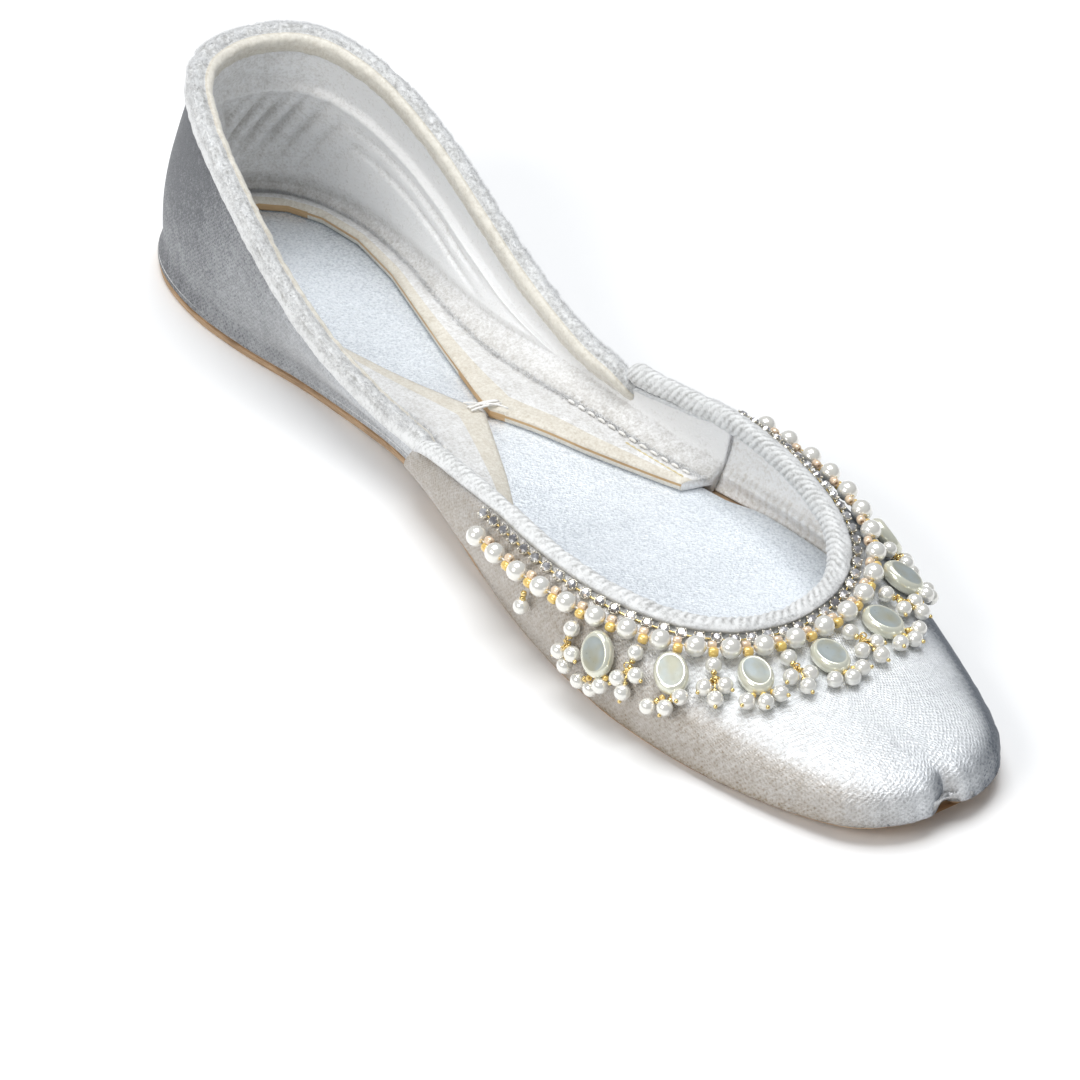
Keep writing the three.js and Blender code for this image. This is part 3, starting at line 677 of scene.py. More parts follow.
def buildQuarter():
    sizes = quarterCloth
    end = shoe["quarterEnd"]
    u = np.linspace(-end, end, sizes["around"])
    share = np.where(np.abs(u) > shoe["collarEnd"],
                     1 - (1 - shoe["tuckedTop"]) * ease(np.abs(u), shoe["collarEnd"], shoe["notch"]), 1)
    wall = heelWall(u) * (1 - 0.6 * ease(np.abs(u), 11.0, end))
    ground = underside(smooth(u, "footX"))
    s = np.linspace(0, 1, sizes["outerRows"])[None, :] ** 1.35
    outerV = s * share[:, None]
    outer = upperPoint(u[:, None], outerV, 0)
    softness = softNoise(outer, 22.0, 2) + 0.5 * softNoise(outer, 9.0, 3)
    swell = sizes["softness"] * softness * np.sin(math.pi * s)
    outer = outer + lastNormal(u[:, None], outerV) * swell[..., None]
    # the lower edge rolls out over the upper sole layer
    lip = np.exp(-((s / 0.045) ** 2)) * (1 - ease(np.abs(u), 8.6, 9.0))[:, None]
    outer = outer + outward(u, "footX", "footY")[:, None] * (sizes["lipOut"] * lip)[..., None]
    outer[..., 2] -= sizes["lipDown"] * lip
    tuck = footPoint(u, 0 * u - (shoe["soleMargin"] + 0.2) * lip[:, 0])
    low = shareAtHeight(u, ground + flapTop + sizes["creaseRise"])
    t = np.linspace(1, 0, sizes["innerRows"])[None, :]
    innerV = low[:, None] + (share - low)[:, None] * t
    padIn, reliefShade = padHeight(u[:, None], innerV)
    padIn = padIn * ease(t, 0.0, 0.1)
    inner = upperPoint(u[:, None], innerV, -(wall[:, None] + padIn))
    wobble = softNoise(inner, 5.0, 5) * 0.12 * ease(t, 0.02, 0.2)
    inner = inner - lastNormal(u[:, None], innerV) * wobble[..., None]
    # the strip rolls out of the wall, runs level over the insole and ends in a thick cut edge
    fold = footPoint(u, wall + sizes["creaseWidth"])
    fold[:, 2] = ground + flapTop
    edge = np.stack([straight(u, "flapX"), straight(u, "flapY"), ground + flapTop], -1)
    inward = unit((edge - fold) * np.array([1, 1, 0]))
    q = np.linspace(0, 1, sizes["flapRows"])[None, :, None]
    strip = fold[:, None] * (1 - q) + edge[:, None] * q
    wave = sizes["wave"] * softNoise(strip, 7.0, 6) * ease(q[..., 0], 0.1, 0.5)
    puff = sizes["puff"] * np.sin(math.pi * q[..., 0]) ** 0.8
    strip[..., 2] += wave + puff - 0.25 * ease(q[..., 0], 0.8, 1)
    cut = []
    for out, drop in ((0.0, 0.35), (0.06, 0.9), (0.02, 1.45), (-0.2, shoe["flap"])):
        point = edge + inward * out
        point[:, 2] = ground + flapTop - drop
        cut.append(point)
    under = footPoint(u, wall)
    under[:, 2] = ground + flapBottom
    inside = footPoint(u, wall)
    single = [ring[:, None] for ring in (under, inside, tuck)]
    rings = np.concatenate([outer, inner, strip, np.stack(cut, 1)] + single, axis=1)
    cols = rings.shape[1]
    faces = gridFaces(len(u), cols, ring=True, capEnds=True)
    firstFlap = sizes["outerRows"] + sizes["innerRows"]
    lastFlap = firstFlap + sizes["flapRows"]
    slots = np.zeros((len(u) - 1, cols), int)
    slots[:, sizes["outerRows"]:] = 1
    slots[:, lastFlap - sizes["creamRows"]:lastFlap + 3] = 2
    # the raw edge is thick at the heel and beside the tie, and a thin line along the sides
    side = np.abs(u[1:])
    thick = (side < 2.6) | ((side > 7.2) & (side < 8.4))
    slots[:, lastFlap:lastFlap + 1] = 3
    slots[thick, lastFlap - 1:lastFlap + 3] = 3
    slots = np.concatenate([slots.ravel(), [1, 1]])
    # painted shade on the outside: dark at the back of the heel and paling down the sides, over an even painted
    # shade and more along the foot
    a = np.abs(u)[:, None]
    shade = np.zeros(rings.shape[:2])
    dark = sizes["heelShade"] * np.exp(-((a / 6.3) ** 3)) * (0.7 + 0.3 * ease(s, 0.1, 0.8))
    shade[:, :sizes["outerRows"]] = dark + sizes["outsideShade"] + 0.1 * (1 - ease(s, 0, 0.15))
    # on the lining: painted shade along the crease at its foot and in the hollow at the heel, painted light
    # over the rest, painted shade in the pleats and grooves and a painted highlight on the ridge
    hollowShade = 0.3 * np.exp(-((t / 0.05) ** 2)) + 0.3 * np.exp(-((a / 3.2) ** 2))
    shade[:, sizes["outerRows"]:firstFlap] = hollowShade - 0.2 - 0.3 * np.clip(reliefShade, -1, 0.7)
    # on the strip: an even painted shade against the overhead light, and more at its fold
    shade[:, firstFlap:lastFlap] = sizes["stripShade"] + 0.3 * np.exp(-((q[..., 0] / 0.06) ** 2))
    # the painted shade is a little warm outside and warmer on the lining and strip
    warm = np.full(rings.shape[:2], 0.15)
    warm[:, sizes["outerRows"]:] = 0.5
    return makePiece("quarterVelvet", rings, faces, [velvet, liningVelvet, creamVelvet, rawEdge], slots,
                     clothLengths(rings), shade, warm)


# Nap that stands up along the crease between the wall and the strip
def buildCreaseNap():
    rng = np.random.default_rng(31)
    count = quarterCloth["creaseHairs"]
    u = rng.uniform(-shoe["quarterEnd"], shoe["quarterEnd"], count)
    base = footPoint(u, heelWall(u) + quarterCloth["creaseWidth"] + rng.normal(0, 0.45, count))
    base[:, 2] = underside(smooth(u, "footX")) + flapTop + rng.uniform(-0.1, 0.5, count)
    direction = unit(np.array([0, 0, 1.0]) - 0.6 * outward(u, "footX", "footY"))
    points, faces = fibreForm(base, direction, 1.0, 0.06, 32)
    return makePiece("creaseNap", points, faces, [napFibre], uv=points[:, :2], shade=0 * points[:, 0])


quarterPiece = buildQuarter()
settle(buildCreaseNap(), "velvet")
settle(quarterPiece, "velvet", "quarter")


# Vamp: the hollow front with gathered cloth along its foot and a pinched toe

vampCloth = {"around": 460, "outerRows": 54, "innerRows": 40, "softness": 0.2, "gathers": 0.13,
             "lipOut": 0.5, "lipDown": 2.3, "sideLip": 0.75, "puckers": 0.7, "fold": 1.1,
             "farShade": 1.15, "nearShade": 0.55}


def vampEdgeStation(u, v):
    # the rear edges lean back from the notch to the sole
    fromRear = np.minimum(u - shoe["notch"], 2 * toe - shoe["notch"] - u)
    lean = shoe["rearLean"] * (1 - v) * (1 - ease(fromRear, 0, 1.2))
    return np.where(u < toe, u - lean, u + lean)


def vampSurface(u, v, offset):
    station = vampEdgeStation(u, v)
    high = upperPoint(station, np.maximum(v, 0.07), offset)
    low = footPoint(station, 0 * station - offset)
    low[..., 0] -= pinchAt(station, low[..., 1])
    share = np.clip(v / 0.07, 0, 1)[..., None]
    return low * (1 - share) + high * share


def buildVamp():
    sizes = vampCloth
    u = np.linspace(shoe["notch"], 2 * toe - shoe["notch"], sizes["around"])[:, None]
    v = np.concatenate([np.linspace(0, 0.1, 10)[:-1], np.linspace(0.1, 1, sizes["outerRows"] - 9)])[None, :]
    u2, v2 = np.broadcast_arrays(u, v)
    outer = vampSurface(u2, v2, vampOutside)
    normal = lastNormal(u2, v2)
    length = clothLengths(outer)
    fromToe = np.abs(u2 - toe)
    front = 1 - ease(fromToe, 4.0, 8.0)
    run = length[..., 0]
    ridges = np.sin(run * 2 * math.pi / 3.7 + 1.9 * np.sin(run / 5.3))
    ridges = ridges + 0.6 * np.sin(run * 2 * math.pi / 2.3 + 1.0)
    gather = sizes["gathers"] * front * ridges * np.exp(-((v2 / 0.13) ** 2)) * ease(v2, 0, 0.02)
    soft = sizes["softness"] * (softNoise(outer, 26.0, 8) + 0.35 * softNoise(outer, 9.0, 9))
    soft = soft * np.sin(math.pi * v2)
    rough = 0.07 * softNoise(outer, 1.6, 10) * (0.3 + front * np.exp(-((v2 / 0.2) ** 2))) * (1 - v2)
    outer = outer + normal * (gather + soft + rough)[..., None]
    # at the toe the cloth rolls over the edge of the sole
    lip = (1 - ease(fromToe, 8.5, 11.2)) * (1 - (1 - sizes["sideLip"]) * ease(fromToe, 3.0, 7.0))
    lip = lip * np.exp(-((v2 / 0.05) ** 2))
    dented = pinchAt(u2, smooth(u2, "footY")) / shoe["pinchDepth"]
    outer = outer + outward(u2, "footX", "footY") * (sizes["lipOut"] * lip * (1 - dented))[..., None]
    outer[..., 2] -= sizes["lipDown"] * lip
    # behind the lip the cloth turns in above the sole
    tuck = footPoint(u2[:, :1], 0 * u2[:, :1] - shoe["soleMargin"] - 0.25)
    w = np.linspace(1, 0, sizes["innerRows"])[None, :] ** 1.2
    u3, w3 = np.broadcast_arrays(u, w)
    inner = vampSurface(u3, w3, vampInside)
    # the lining is drawn in over the insole, with a soft fold and puckers above its foot
    innerRun = clothLengths(inner)[..., 0]
    pucker = np.abs(np.sin(innerRun * math.pi / 1.9 + 1.2 * np.sin(innerRun / 7.0))) ** 0.6
    fold = np.exp(-(((w3 - 0.17) / 0.05) ** 2)) * (sizes["fold"] + sizes["puckers"] * (pucker - 0.6))
    fold = fold * ease(np.minimum(u3, 2 * toe - u3), shoe["quarterEnd"] - 0.4, shoe["quarterEnd"] + 0.6)
    inner = inner - lastNormal(u3, w3) * fold[..., None]
    rings = np.concatenate([outer, inner, tuck], axis=1)
    faces = gridFaces(len(u), rings.shape[1], ring=True, capEnds=True)
    slotOfColumn = np.zeros(rings.shape[1], int)
    slotOfColumn[sizes["outerRows"]:-2] = 1
    slots = np.concatenate([np.tile(slotOfColumn, len(u) - 1), [0, 0]])
    # painted shade: the far side and the front are darker than the top, the near side a little darker, and the
    # foot of the cloth darker still
    shade = np.zeros(rings.shape[:2])
    steep = np.sqrt(1 - np.clip(normal[..., 2], 0, 1) ** 2)
    facing = unit(normal * np.array([1, 1, 0]))
    far = np.clip(0.15 * facing[..., 0] + facing[..., 1], 0, 1)
    near = np.clip(-facing[..., 1], 0, 1)
    sides = sizes["farShade"] * far * ease(steep, 0.12, 0.7) + sizes["nearShade"] * near * ease(steep, 0.2, 0.7)
    shade[:, :sizes["outerRows"]] = 0.05 * steep + sides + 0.25 * np.exp(-((v2 / 0.03) ** 2))
    # on the lining: painted shade along its foot and in the valleys of the puckers
    creaseShade = 0.45 * (1 - pucker) * (1 - ease(w3, 0.2, 0.3))
    shade[:, sizes["outerRows"]:-1] = 0.15 * np.exp(-((w3 / 0.1) ** 2)) + creaseShade
    # painted warm light: the painted shade turns warm on the near side, and the lining's painted shade is warm
    warm = np.zeros(rings.shape[:2])
    warm[:, :sizes["outerRows"]] = near
    warm[:, sizes["outerRows"]:] = 0.9
    return makePiece("vampVelvet", rings, faces, [velvet, liningVelvet], slots,
                     clothLengths(rings), shade, warm)


vampPiece = buildVamp()
settle(vampPiece, "velvet", "vamp")


# Bindings: velvet strips rolled over the two upper edges

collarRoll = {
    "legs": 2.5, "lip": 1.15, "roll": 1.7, "slack": 0.45, "steps": 640, "hairs": 40000, "hairLength": 0.75,
    "hairFrom": 0, "hairTo": 14, "endLength": 7.0, "endSize": 0.45, "diveIn": 1.3, "diveDown": 3.2,
}
throatRoll = {
    "legs": 2.0, "lip": 1.05, "roll": 1.35, "slack": 0.3, "steps": 900, "hairs": 9000, "hairLength": 0.4,
    "hairFrom": 35, "hairTo": 38, "endLength": 5.0, "endSize": 0.25, "diveIn": 0.0, "diveDown": 1.2,
    "ribPitch": 1.75, "ribDepth": 0.36,
}
rollCrown = {"points": 27, "rim": 13, "inner": 15}


# The section of a roll, out from the middle of the wall and up from its edge, with a groove beside the rim
def rollSection(halfWall, sizes, groove):
    inside = halfWall + sizes["slack"]
    outside = inside + sizes["lip"]
    top = sizes["roll"] + shoe["gap"]
    points = []
    for k in range(rollCrown["points"]):
        angle = math.pi * (k / (rollCrown["points"] - 1))
        across = math.cos(angle)
        up = math.sin(angle)
        x = outside * np.sign(across) * abs(across) ** 0.8
        z = top * up**0.75 * (1 - groove * math.exp(-(((across + 0.18) / 0.16) ** 2)))
        points.append((x, z))
    legs = sizes["legs"]
    left = [(-outside - 0.05, -0.35 * legs), (-outside, -0.7 * legs), (-outside + 0.1, -0.94 * legs),
            (-outside + 0.35, -legs), (-inside, -legs), (-inside, shoe["gap"])]
    right = [(inside, shoe["gap"]), (inside, -legs), (outside - 0.35, -legs), (outside - 0.1, -0.94 * legs),
             (outside, -0.7 * legs), (outside + 0.05, -0.35 * legs)]
    return np.array(points + left + right)


def rollFrame(u, wallIn, wallOut):
    middle = upperPoint(u, 1, (wallIn + wallOut) / 2)
    normal = lastNormal(u, 1 + 0 * u)
    up = unit(lastPoint(u, 1 + 0 * u) - lastPoint(u, 0.86 + 0 * u))
    return middle, normal, up


def buildRoll(name, stationRange, wallAt, sizes, groove, ribbed):
    u = np.linspace(*stationRange, sizes["steps"])
    wallIn, wallOut = wallAt(u)
    middle, normal, up = rollFrame(u, wallIn, wallOut)
    half = (wallOut - wallIn) / 2
    crownCount = rollCrown["points"]
    rings = []
    for i in range(len(u)):
        section = rollSection(half[i], sizes, groove)
        rings.append(middle[i] + section[:, :1] * normal[i] + section[:, 1:] * up[i])
    rings = np.array(rings)
    run = np.concatenate([[0], np.cumsum(np.linalg.norm(np.diff(middle, axis=0), axis=1))])
    out = unit(rings - middle[:, None])
    # both ends taper and dive behind the neighbouring piece
    close = 1 - np.clip(np.minimum(run, run[-1] - run) / sizes["endLength"], 0, 1)
    size = sizes["endSize"] + (1 - sizes["endSize"]) * np.sqrt(1 - close**2)
    pivot = middle - up * 0.8
    rings = pivot[:, None] + (rings - pivot[:, None]) * size[:, None, None]
    rings -= ((normal * sizes["diveIn"] + up * sizes["diveDown"]) * (close**2)[:, None])[:, None]
    lump = 0.16 * softNoise(rings, 1.9, 11) + 0.12 * softNoise(rings, 0.9, 12)
    lump = lump + 0.14 * softNoise(rings, 9.0, 13)
    # turn runs over the crown from outside to inside, and a little down the outer leg
    innerLegs = np.zeros(rings.shape[1] - crownCount - 3)
    turn = np.concatenate([np.linspace(0, 1, crownCount), innerLegs, [-0.3, -0.2, -0.1]])
    ribShare = np.concatenate([np.ones(crownCount), innerLegs, [0, 0.1, 0.5]])
    phase = run[:, None] / throatRoll["ribPitch"] + 2.6 * turn
    if ribbed:
        lump += sizes["ribDepth"] * (np.abs(np.sin(math.pi * phase)) ** 0.5 - 0.6) * ribShare
    lump[:, crownCount + 3:crownCount + 9] = 0
    rings = rings + out * lump[..., None]
    faces = gridFaces(len(u), rings.shape[1], ring=True, capEnds=True)
    slotOfColumn = np.zeros(rings.shape[1], int)
    slotOfColumn[rollCrown["inner"]:crownCount + 4] = 1
    slots = np.concatenate([np.tile(slotOfColumn, len(u) - 1), [0, 0]])
    shade = np.zeros(rings.shape[:2])
    # painted shade on the inner side just below the crown, under the roll
    shade[:, crownCount:crownCount + 5] = 0.3
    # the nap lies in streaks along the collar; the gaps between them get painted shade
    streakAt = np.stack(np.broadcast_arrays(run[:, None] * 0.5, np.arange(rings.shape[1]) * 0.55, 0.0), -1)
    streaks = softNoise(streakAt, 1.0, 17)
    if ribbed:
        # painted shade in the grooves between the ribs
        shade += (0.6 * (0.5 + 0.5 * np.cos(2 * math.pi * phase)) ** 1.5 - 0.1) * ribShare
    else:
        rim = rollCrown["rim"]
        # painted shade over the collar's rim, more in the gaps between the streaks, and in the groove beside
        # the rim
        shade[:, :rim] += 0.1 + 0.7 * np.clip(-streaks[:, :rim], 0, 1)
        shade[:, rim:rim + 4] = 0.4
    piece = makePiece(name, rings, faces, [rollVelvet, rollVelvet if ribbed else creamVelvet], slots,
                      clothLengths(rings), shade)
    # the collar's nap stands on the outer half of its crown, the throat's on its outer leg
    rng = np.random.default_rng(len(name))
    rows = rng.integers(1, len(u) - 1, sizes["hairs"])
    cols = rng.integers(sizes["hairFrom"], sizes["hairTo"], sizes["hairs"])
    standing = streaks[rows, cols] > -0.12
    rows, cols = rows[standing], cols[standing]
    some = rng.random(len(rows))[:, None]
    base = rings[rows, cols] * some + rings[rows - 1, cols + 1] * (1 - some)
    hairPoints, hairFaces = fibreForm(base, out[rows, cols], sizes["hairLength"], 0.045, 21)
    hair = makePiece(name + "Nap", hairPoints, hairFaces, [napFibre], uv=hairPoints[:, :2],
                     shade=0 * hairPoints[:, 0])
    return piece, hair


collar, collarNap = buildRoll("collarRoll", (-shoe["collarEnd"] - 0.45, shoe["collarEnd"] + 0.45),
                              lambda u: (-heelWall(u), 0 * u), collarRoll, 0.2, False)
settle(collar, "binding", "quarter_binding")
settle(collarNap, "binding")
throat, throatNap = buildRoll("throatRoll", (shoe["notch"] - 0.12, 2 * toe - shoe["notch"] + 0.12),
                              lambda u: (0 * u + vampInside, 0 * u + vampOutside), throatRoll, 0.0, True)
settle(throat, "binding", "vamp_binding")
settle(throatNap, "binding")


# Beadwork: places on the vamp as the solids have them

bead = {
    "pearl": 4.2, "smallPearl": 3.3, "count": 24, "pitch": 7.05, "rowFromEdge": 6.8, "stone": 2.3,
    "stonePitch": 3.5, "stoneFromEdge": 3.4, "stoneCount": 45, "seed": 2.0, "smallSeed": 1.25,
}
oval = {"length": 9.2, "width": 6.8, "thickness": 3, "face": 0.76, "fromRow": 6.6,
        "fan": [(-3.4, -0.8), (0, 0.4), (3.4, -0.8)], "gaps": [6, 8, 10, 12, 14, 16, 18]}
cluster = {"head": (0, 4.1), "fan": [(-2, 8.8), (2, 9.1), (0, 11.8)], "gaps": [5, 7, 9, 11, 13, 15, 17, 19]}
single = {"from": 3.2, "below": 6, "gaps": [3, 21]}


def beadPlace(u, fromEdge, lift=0.0):
    u = np.atleast_1d(np.asarray(u, float))
    steps = np.arange(1, -0.0001, -0.004)
    walk = upperPoint(u[:, None], steps[None, :], vampOutside)
    lengths = np.linalg.norm(np.diff(walk, axis=1), axis=-1)
    walked = np.concatenate([np.zeros((len(u), 1)), np.cumsum(lengths, axis=1)], 1)
    k = np.argmax(walked >= np.broadcast_to(fromEdge, len(u))[:, None], axis=1)
    v = steps[k]
    point = walk[np.arange(len(u)), k]
    normal = lastNormal(u, v)
    down = unit(upperPoint(u, v - 0.01, vampOutside) - point)
    side = unit(np.cross(normal, down))
    return {"point": point + normal * lift, "normal": normal, "down": down, "side": side}


def pick(places, i):
    return {key: value[i] for key, value in places.items()}


def evenStations(fromEdge, lift, pitch, count):
    u = toe + 0.02 * np.arange(0, 640)
    line = beadPlace(u, fromEdge, lift)["point"]
    length = np.concatenate([[0], np.cumsum(np.linalg.norm(np.diff(line, axis=0), axis=1))])
    wanted = (np.arange(count) - (count - 1) / 2) * pitch
    found = np.array([u[np.argmax(length >= abs(target))] for target in wanted])
    return np.where(wanted < 0, 2 * toe - found, found)


pearlLift = shoe["gap"] + bead["pearl"] / 2
smallLift = shoe["gap"] + bead["smallPearl"] / 2
rowStations = evenStations(bead["rowFromEdge"], pearlLift, bead["pitch"], bead["count"])
rowPlaces = beadPlace(rowStations, bead["rowFromEdge"], pearlLift)


def hangPlace(after, below, lift):
    first, second = rowPlaces["point"][after - 1], rowPlaces["point"][after]
    middle = (first + second) / 2
    along = unit(second - first)
    perLength = (rowStations[after] - rowStations[after - 1]) / bead["pitch"]
    u = (rowStations[after - 1] + rowStations[after]) / 2
    fromEdge = bead["rowFromEdge"] + below
    for _ in range(8):
        offset = beadPlace(u, fromEdge, lift)["point"][0] - middle
        u -= 0.8 * float(offset @ along) * perLength
        fromEdge += below - float(np.linalg.norm(offset))
    return pick(beadPlace(u, fromEdge, lift), 0)


def offsetPoint(place, across, along, out=0.0):
    return place["point"] + place["side"] * across + place["down"] * along + place["normal"] * out


print("bead places found")

# Row of pearls, each pair joined by an amber bead and a blush bead side by side
rowEntries, rowSeeds = [], []
for i in range(bead["count"]):
    place = pick(rowPlaces, i)
    following = rowPlaces["point"][min(i + 1, bead["count"] - 1)]
    axis = unit(following - rowPlaces["point"][max(i - 1, 0)])
    rowEntries.append((aimed(ballForm(bead["pearl"], 28, 18), place["point"], axis), 0))
    for end in (-1, 1):
        rim = place["point"] + axis * end * (bead["pearl"] / 2 - 0.06)
        rowEntries.append((aimed(ringForm(0.7, 0.16), rim, axis), 1))
    if i + 1 < bead["count"]:
        middle = (place["point"] + following) / 2
        step = unit(following - place["point"])
        nextDown = unit(rowPlaces["down"][i] + rowPlaces["down"][i + 1])
        nextNormal = unit(rowPlaces["normal"][i] + rowPlaces["normal"][i + 1])
        for shift, slotIndex, size in ((0.75, 0, 1.0), (-0.85, 1, 0.92)):
            at = middle + nextDown * shift - nextNormal * 0.55
            form = aimed(seedForm(bead["seed"] * size, 1.9 * size, 0.6), at, step, 0.3 * i)
            rowSeeds.append((form, slotIndex))
        thread = np.linspace(place["point"] - nextNormal * 0.3, following - nextNormal * 0.3, 5)
        rowSeeds.append((cordForm(thread, 0.16, 6), 2))
rowNodes = ["row_pearl_%02d" % (i + 1) for i in range(bead["count"])]
points, faces, slots = joinForms(rowEntries)
rowPiece = makePiece("rowPearls", points, faces, [pearl, gold], slots)
settle(rowPiece, "pearl", *rowNodes)
points, faces, slots = joinForms(rowSeeds)
settle(makePiece("rowSeedBeads", points, faces, [amber, blush, whiteThread], slots), "pearl")


# Flat ovals: a cream bevelled rim round a flat grey face, with small pearls on gold beads below

def ovalForm(place):
    faceShare = oval["face"]
    t, w, h = oval["thickness"] / 2, oval["width"] / 2, oval["length"] / 2
    profile = [(0, -1), (0.72, -1), (0.9, -0.82), (0.985, -0.4), (1, 0), (0.985, 0.4), (0.9, 0.76),
               (faceShare + 0.05, 0.98), (faceShare, 1.0), (faceShare - 0.03, 0.985)]
    pointsOf, facesOf = lathe([(r, z * t) for r, z in profile], 40)
    faceProfile = [(faceShare - 0.03, 0.985 * t), (faceShare - 0.3, 1.02 * t), (0, 1.04 * t)]
    facePoints, faceFaces = lathe(faceProfile, 40)
    scale = np.array([w, h, 1])
    basis = np.stack([place["side"], place["down"], place["normal"]])
    rim = (pointsOf * scale) @ basis + place["point"]
    face = (facePoints * scale) @ basis + place["point"]
    return (rim, facesOf), (face, faceFaces)


def headPin(at, axis):
    return [(aimed(ballForm(0.85, 10, 6), at + axis * (bead["smallPearl"] / 2 + 0.12), axis), 1)]


ovalEntries = []
rng = random.Random(5)
for after in oval["gaps"]:
    middle = hangPlace(after, oval["fromRow"], shoe["gap"] + oval["thickness"] / 2)
    tip = hangPlace(after, oval["fromRow"] + oval["length"] / 2 + smallLift, smallLift)
    rim, face = ovalForm(middle)
    ovalEntries += [(rim, 4), (face, 2)]
    for across, along in oval["fan"]:
        at = offsetPoint(tip, across, along)
        ovalEntries.append((aimed(ballForm(bead["smallPearl"], 20, 12), at, unit(at - middle["point"])), 0))
        start = offsetPoint(middle, across * 0.52, 0.47 * oval["length"], -0.4)
        step = at - start
        for share in (0.16, 0.46):
            form = seedForm(bead["smallSeed"], 0.95, 0.4, 12)
            ovalEntries.append((aimed(form, start + step * share, unit(step)), 3 if share < 0.3 else 1))
        if rng.random() < 0.55:
            ovalEntries += headPin(at, unit(step))
points, faces, slots = joinForms(ovalEntries)
ovalPiece = makePiece("ovalDrops", points, faces, [pearl, gold, ovalFace, amber, ovalRim], slots)
settle(ovalPiece, "oval_pearl", *["oval_drop_%d" % (i + 1) for i in range(len(oval["gaps"]))])


# Clusters: a small pearl, a bundle of gold wire and beads, and three small pearls on head pins

clusterEntries = []
rng = random.Random(9)
for after in cluster["gaps"]:
    places = [hangPlace(after, below, smallLift) for _, below in [cluster["head"]] + cluster["fan"]]
    across = [cluster["head"][0]] + [x for x, _ in cluster["fan"]]
    spots = [offsetPoint(place, x, 0) for place, x in zip(places, across)]
    head, fan = spots[0], spots[1:]
    knot = head * 0.45 + sum(fan) / 3 * 0.55
    normal, down, side = places[0]["normal"], places[0]["down"], places[0]["side"]
    clusterEntries.append((aimed(ballForm(bead["smallPearl"], 20, 12), head, down), 0))
    for share in (0.34, 0.62):
        at = head + (knot - head) * share * 1.5
        clusterEntries.append((aimed(seedForm(1.2, 0.9, 0.4, 12), at, down), 1))
    for k in range(5):
        tilt = unit(normal * rng.uniform(-1, 1) + down * rng.uniform(-1, 1) + side * rng.uniform(-1, 1))
        at = knot + down * rng.uniform(-0.9, 1.1) + side * rng.uniform(-0.5, 0.5)
        at = at + normal * rng.uniform(0.0, 0.9)
        clusterEntries.append((aimed(ringForm(1.25, 0.3), at, tilt), 1))
    for at in fan:
        step = unit(at - knot)
        clusterEntries.append((aimed(ballForm(bead["smallPearl"], 20, 12), at, step), 0))
        bend = knot + normal * 0.5
        wire = [bend, bend * 0.5 + at * 0.5 + normal * 0.3, at - step * bead["smallPearl"] * 0.45]
        clusterEntries.append((cordForm(wire, 0.2, 6), 1))
        neck = at - step * (bead["smallPearl"] / 2 + 0.22)
        clusterEntries.append((aimed(seedForm(1.0, 0.7, 0.35, 10), neck, step), 1))
        if rng.random() < 0.7:
            clusterEntries += headPin(at, step)
points, faces, slots = joinForms(clusterEntries)
clusterPiece = makePiece("pearlClusters", points, faces, [pearl, gold], slots)
settle(clusterPiece, "pearl", *["pearl_cluster_%d" % (i + 1) for i in range(len(cluster["gaps"]))])

singleEntries = []
for after in single["gaps"]:
    at = hangPlace(after, single["below"], smallLift)
    top = hangPlace(after, single["from"], smallLift)
    singleEntries.append((aimed(ballForm(bead["smallPearl"], 20, 12), at["point"], at["down"]), 0))
    for share in (0.0, 0.4):
        middle = top["point"] + (at["point"] - top["point"]) * share
        singleEntries.append((aimed(seedForm(bead["smallSeed"], 1.0, 0.4, 12), middle, at["down"]), 1))
points, faces, slots = joinForms(singleEntries)
singlePiece = makePiece("singleDrops", points, faces, [pearl, gold], slots)
settle(singlePiece, "pearl", "single_drop_1", "single_drop_2")


# Chain of cut stones: round cups of pale metal with four claws, joined by short gold links

stones = {"cupHeight": 0.95, "claw": 0.51, "facets": 8, "link": 0.22, "lift": 0.3}
stoneStations = evenStations(bead["stoneFromEdge"], shoe["gap"], bead["stonePitch"], bead["stoneCount"])
stonePlaces = beadPlace(stoneStations, bead["stoneFromEdge"], 0.12)
chainEntries, stoneEntries = [], []
r = bead["stone"] / 2
cupProfile = [(0, 0), (0.8 * r, 0), (0.98 * r, 0.2), (r, stones["cupHeight"]),
              (0.9 * r, stones["cupHeight"]), (0.86 * r, 0.6), (0, 0.55)]
stoneProfile = [(0, 0.58), (0.86 * r, 0.85), (0.88 * r, 1.0), (0.5 * r, 1.52), (0, 1.55)]
for i in range(bead["stoneCount"]):
    place = pick(stonePlaces, i)
    at, up = place["point"], place["normal"]
    chainEntries.append((aimed(lathe(cupProfile, 20), at, up, 0.2 * i), 0))
    stoneEntries.append((aimed(lathe(stoneProfile, stones["facets"]), at, up, 0.7 * i), 0))
    for k in range(4):
        angle = math.pi / 4 + k * math.pi / 2
        foot = offsetPoint(place, 0.98 * r * math.cos(angle), 0.98 * r * math.sin(angle), 0.75)
        chainEntries.append((aimed(ballForm(stones["claw"], 8, 6), foot + up * stones["lift"], up), 0))
    if i + 1 < bead["stoneCount"]:
        following = stonePlaces["point"][i + 1] + stonePlaces["normal"][i + 1] * stones["lift"]
        link = np.linspace(at + up * stones["lift"], following, 4)
        chainEntries.append((cordForm(link, stones["link"], 6), 1))
points, faces, slots = joinForms(chainEntries)
settle(makePiece("stoneCups", points, faces, [paleMetal, gold], slots), "crystal", "crystal_chain")
points, faces, slots = joinForms(stoneEntries)
settle(makePiece("cutStones", points, faces, [cutStone], slots, flat=True), "crystal")


# Thread: the tie over the insole and the running stitches beside the crease

tie = {"x": 109.0, "lift": 0.45, "thread": 0.27, "end": 0.2, "knot": 1.3}


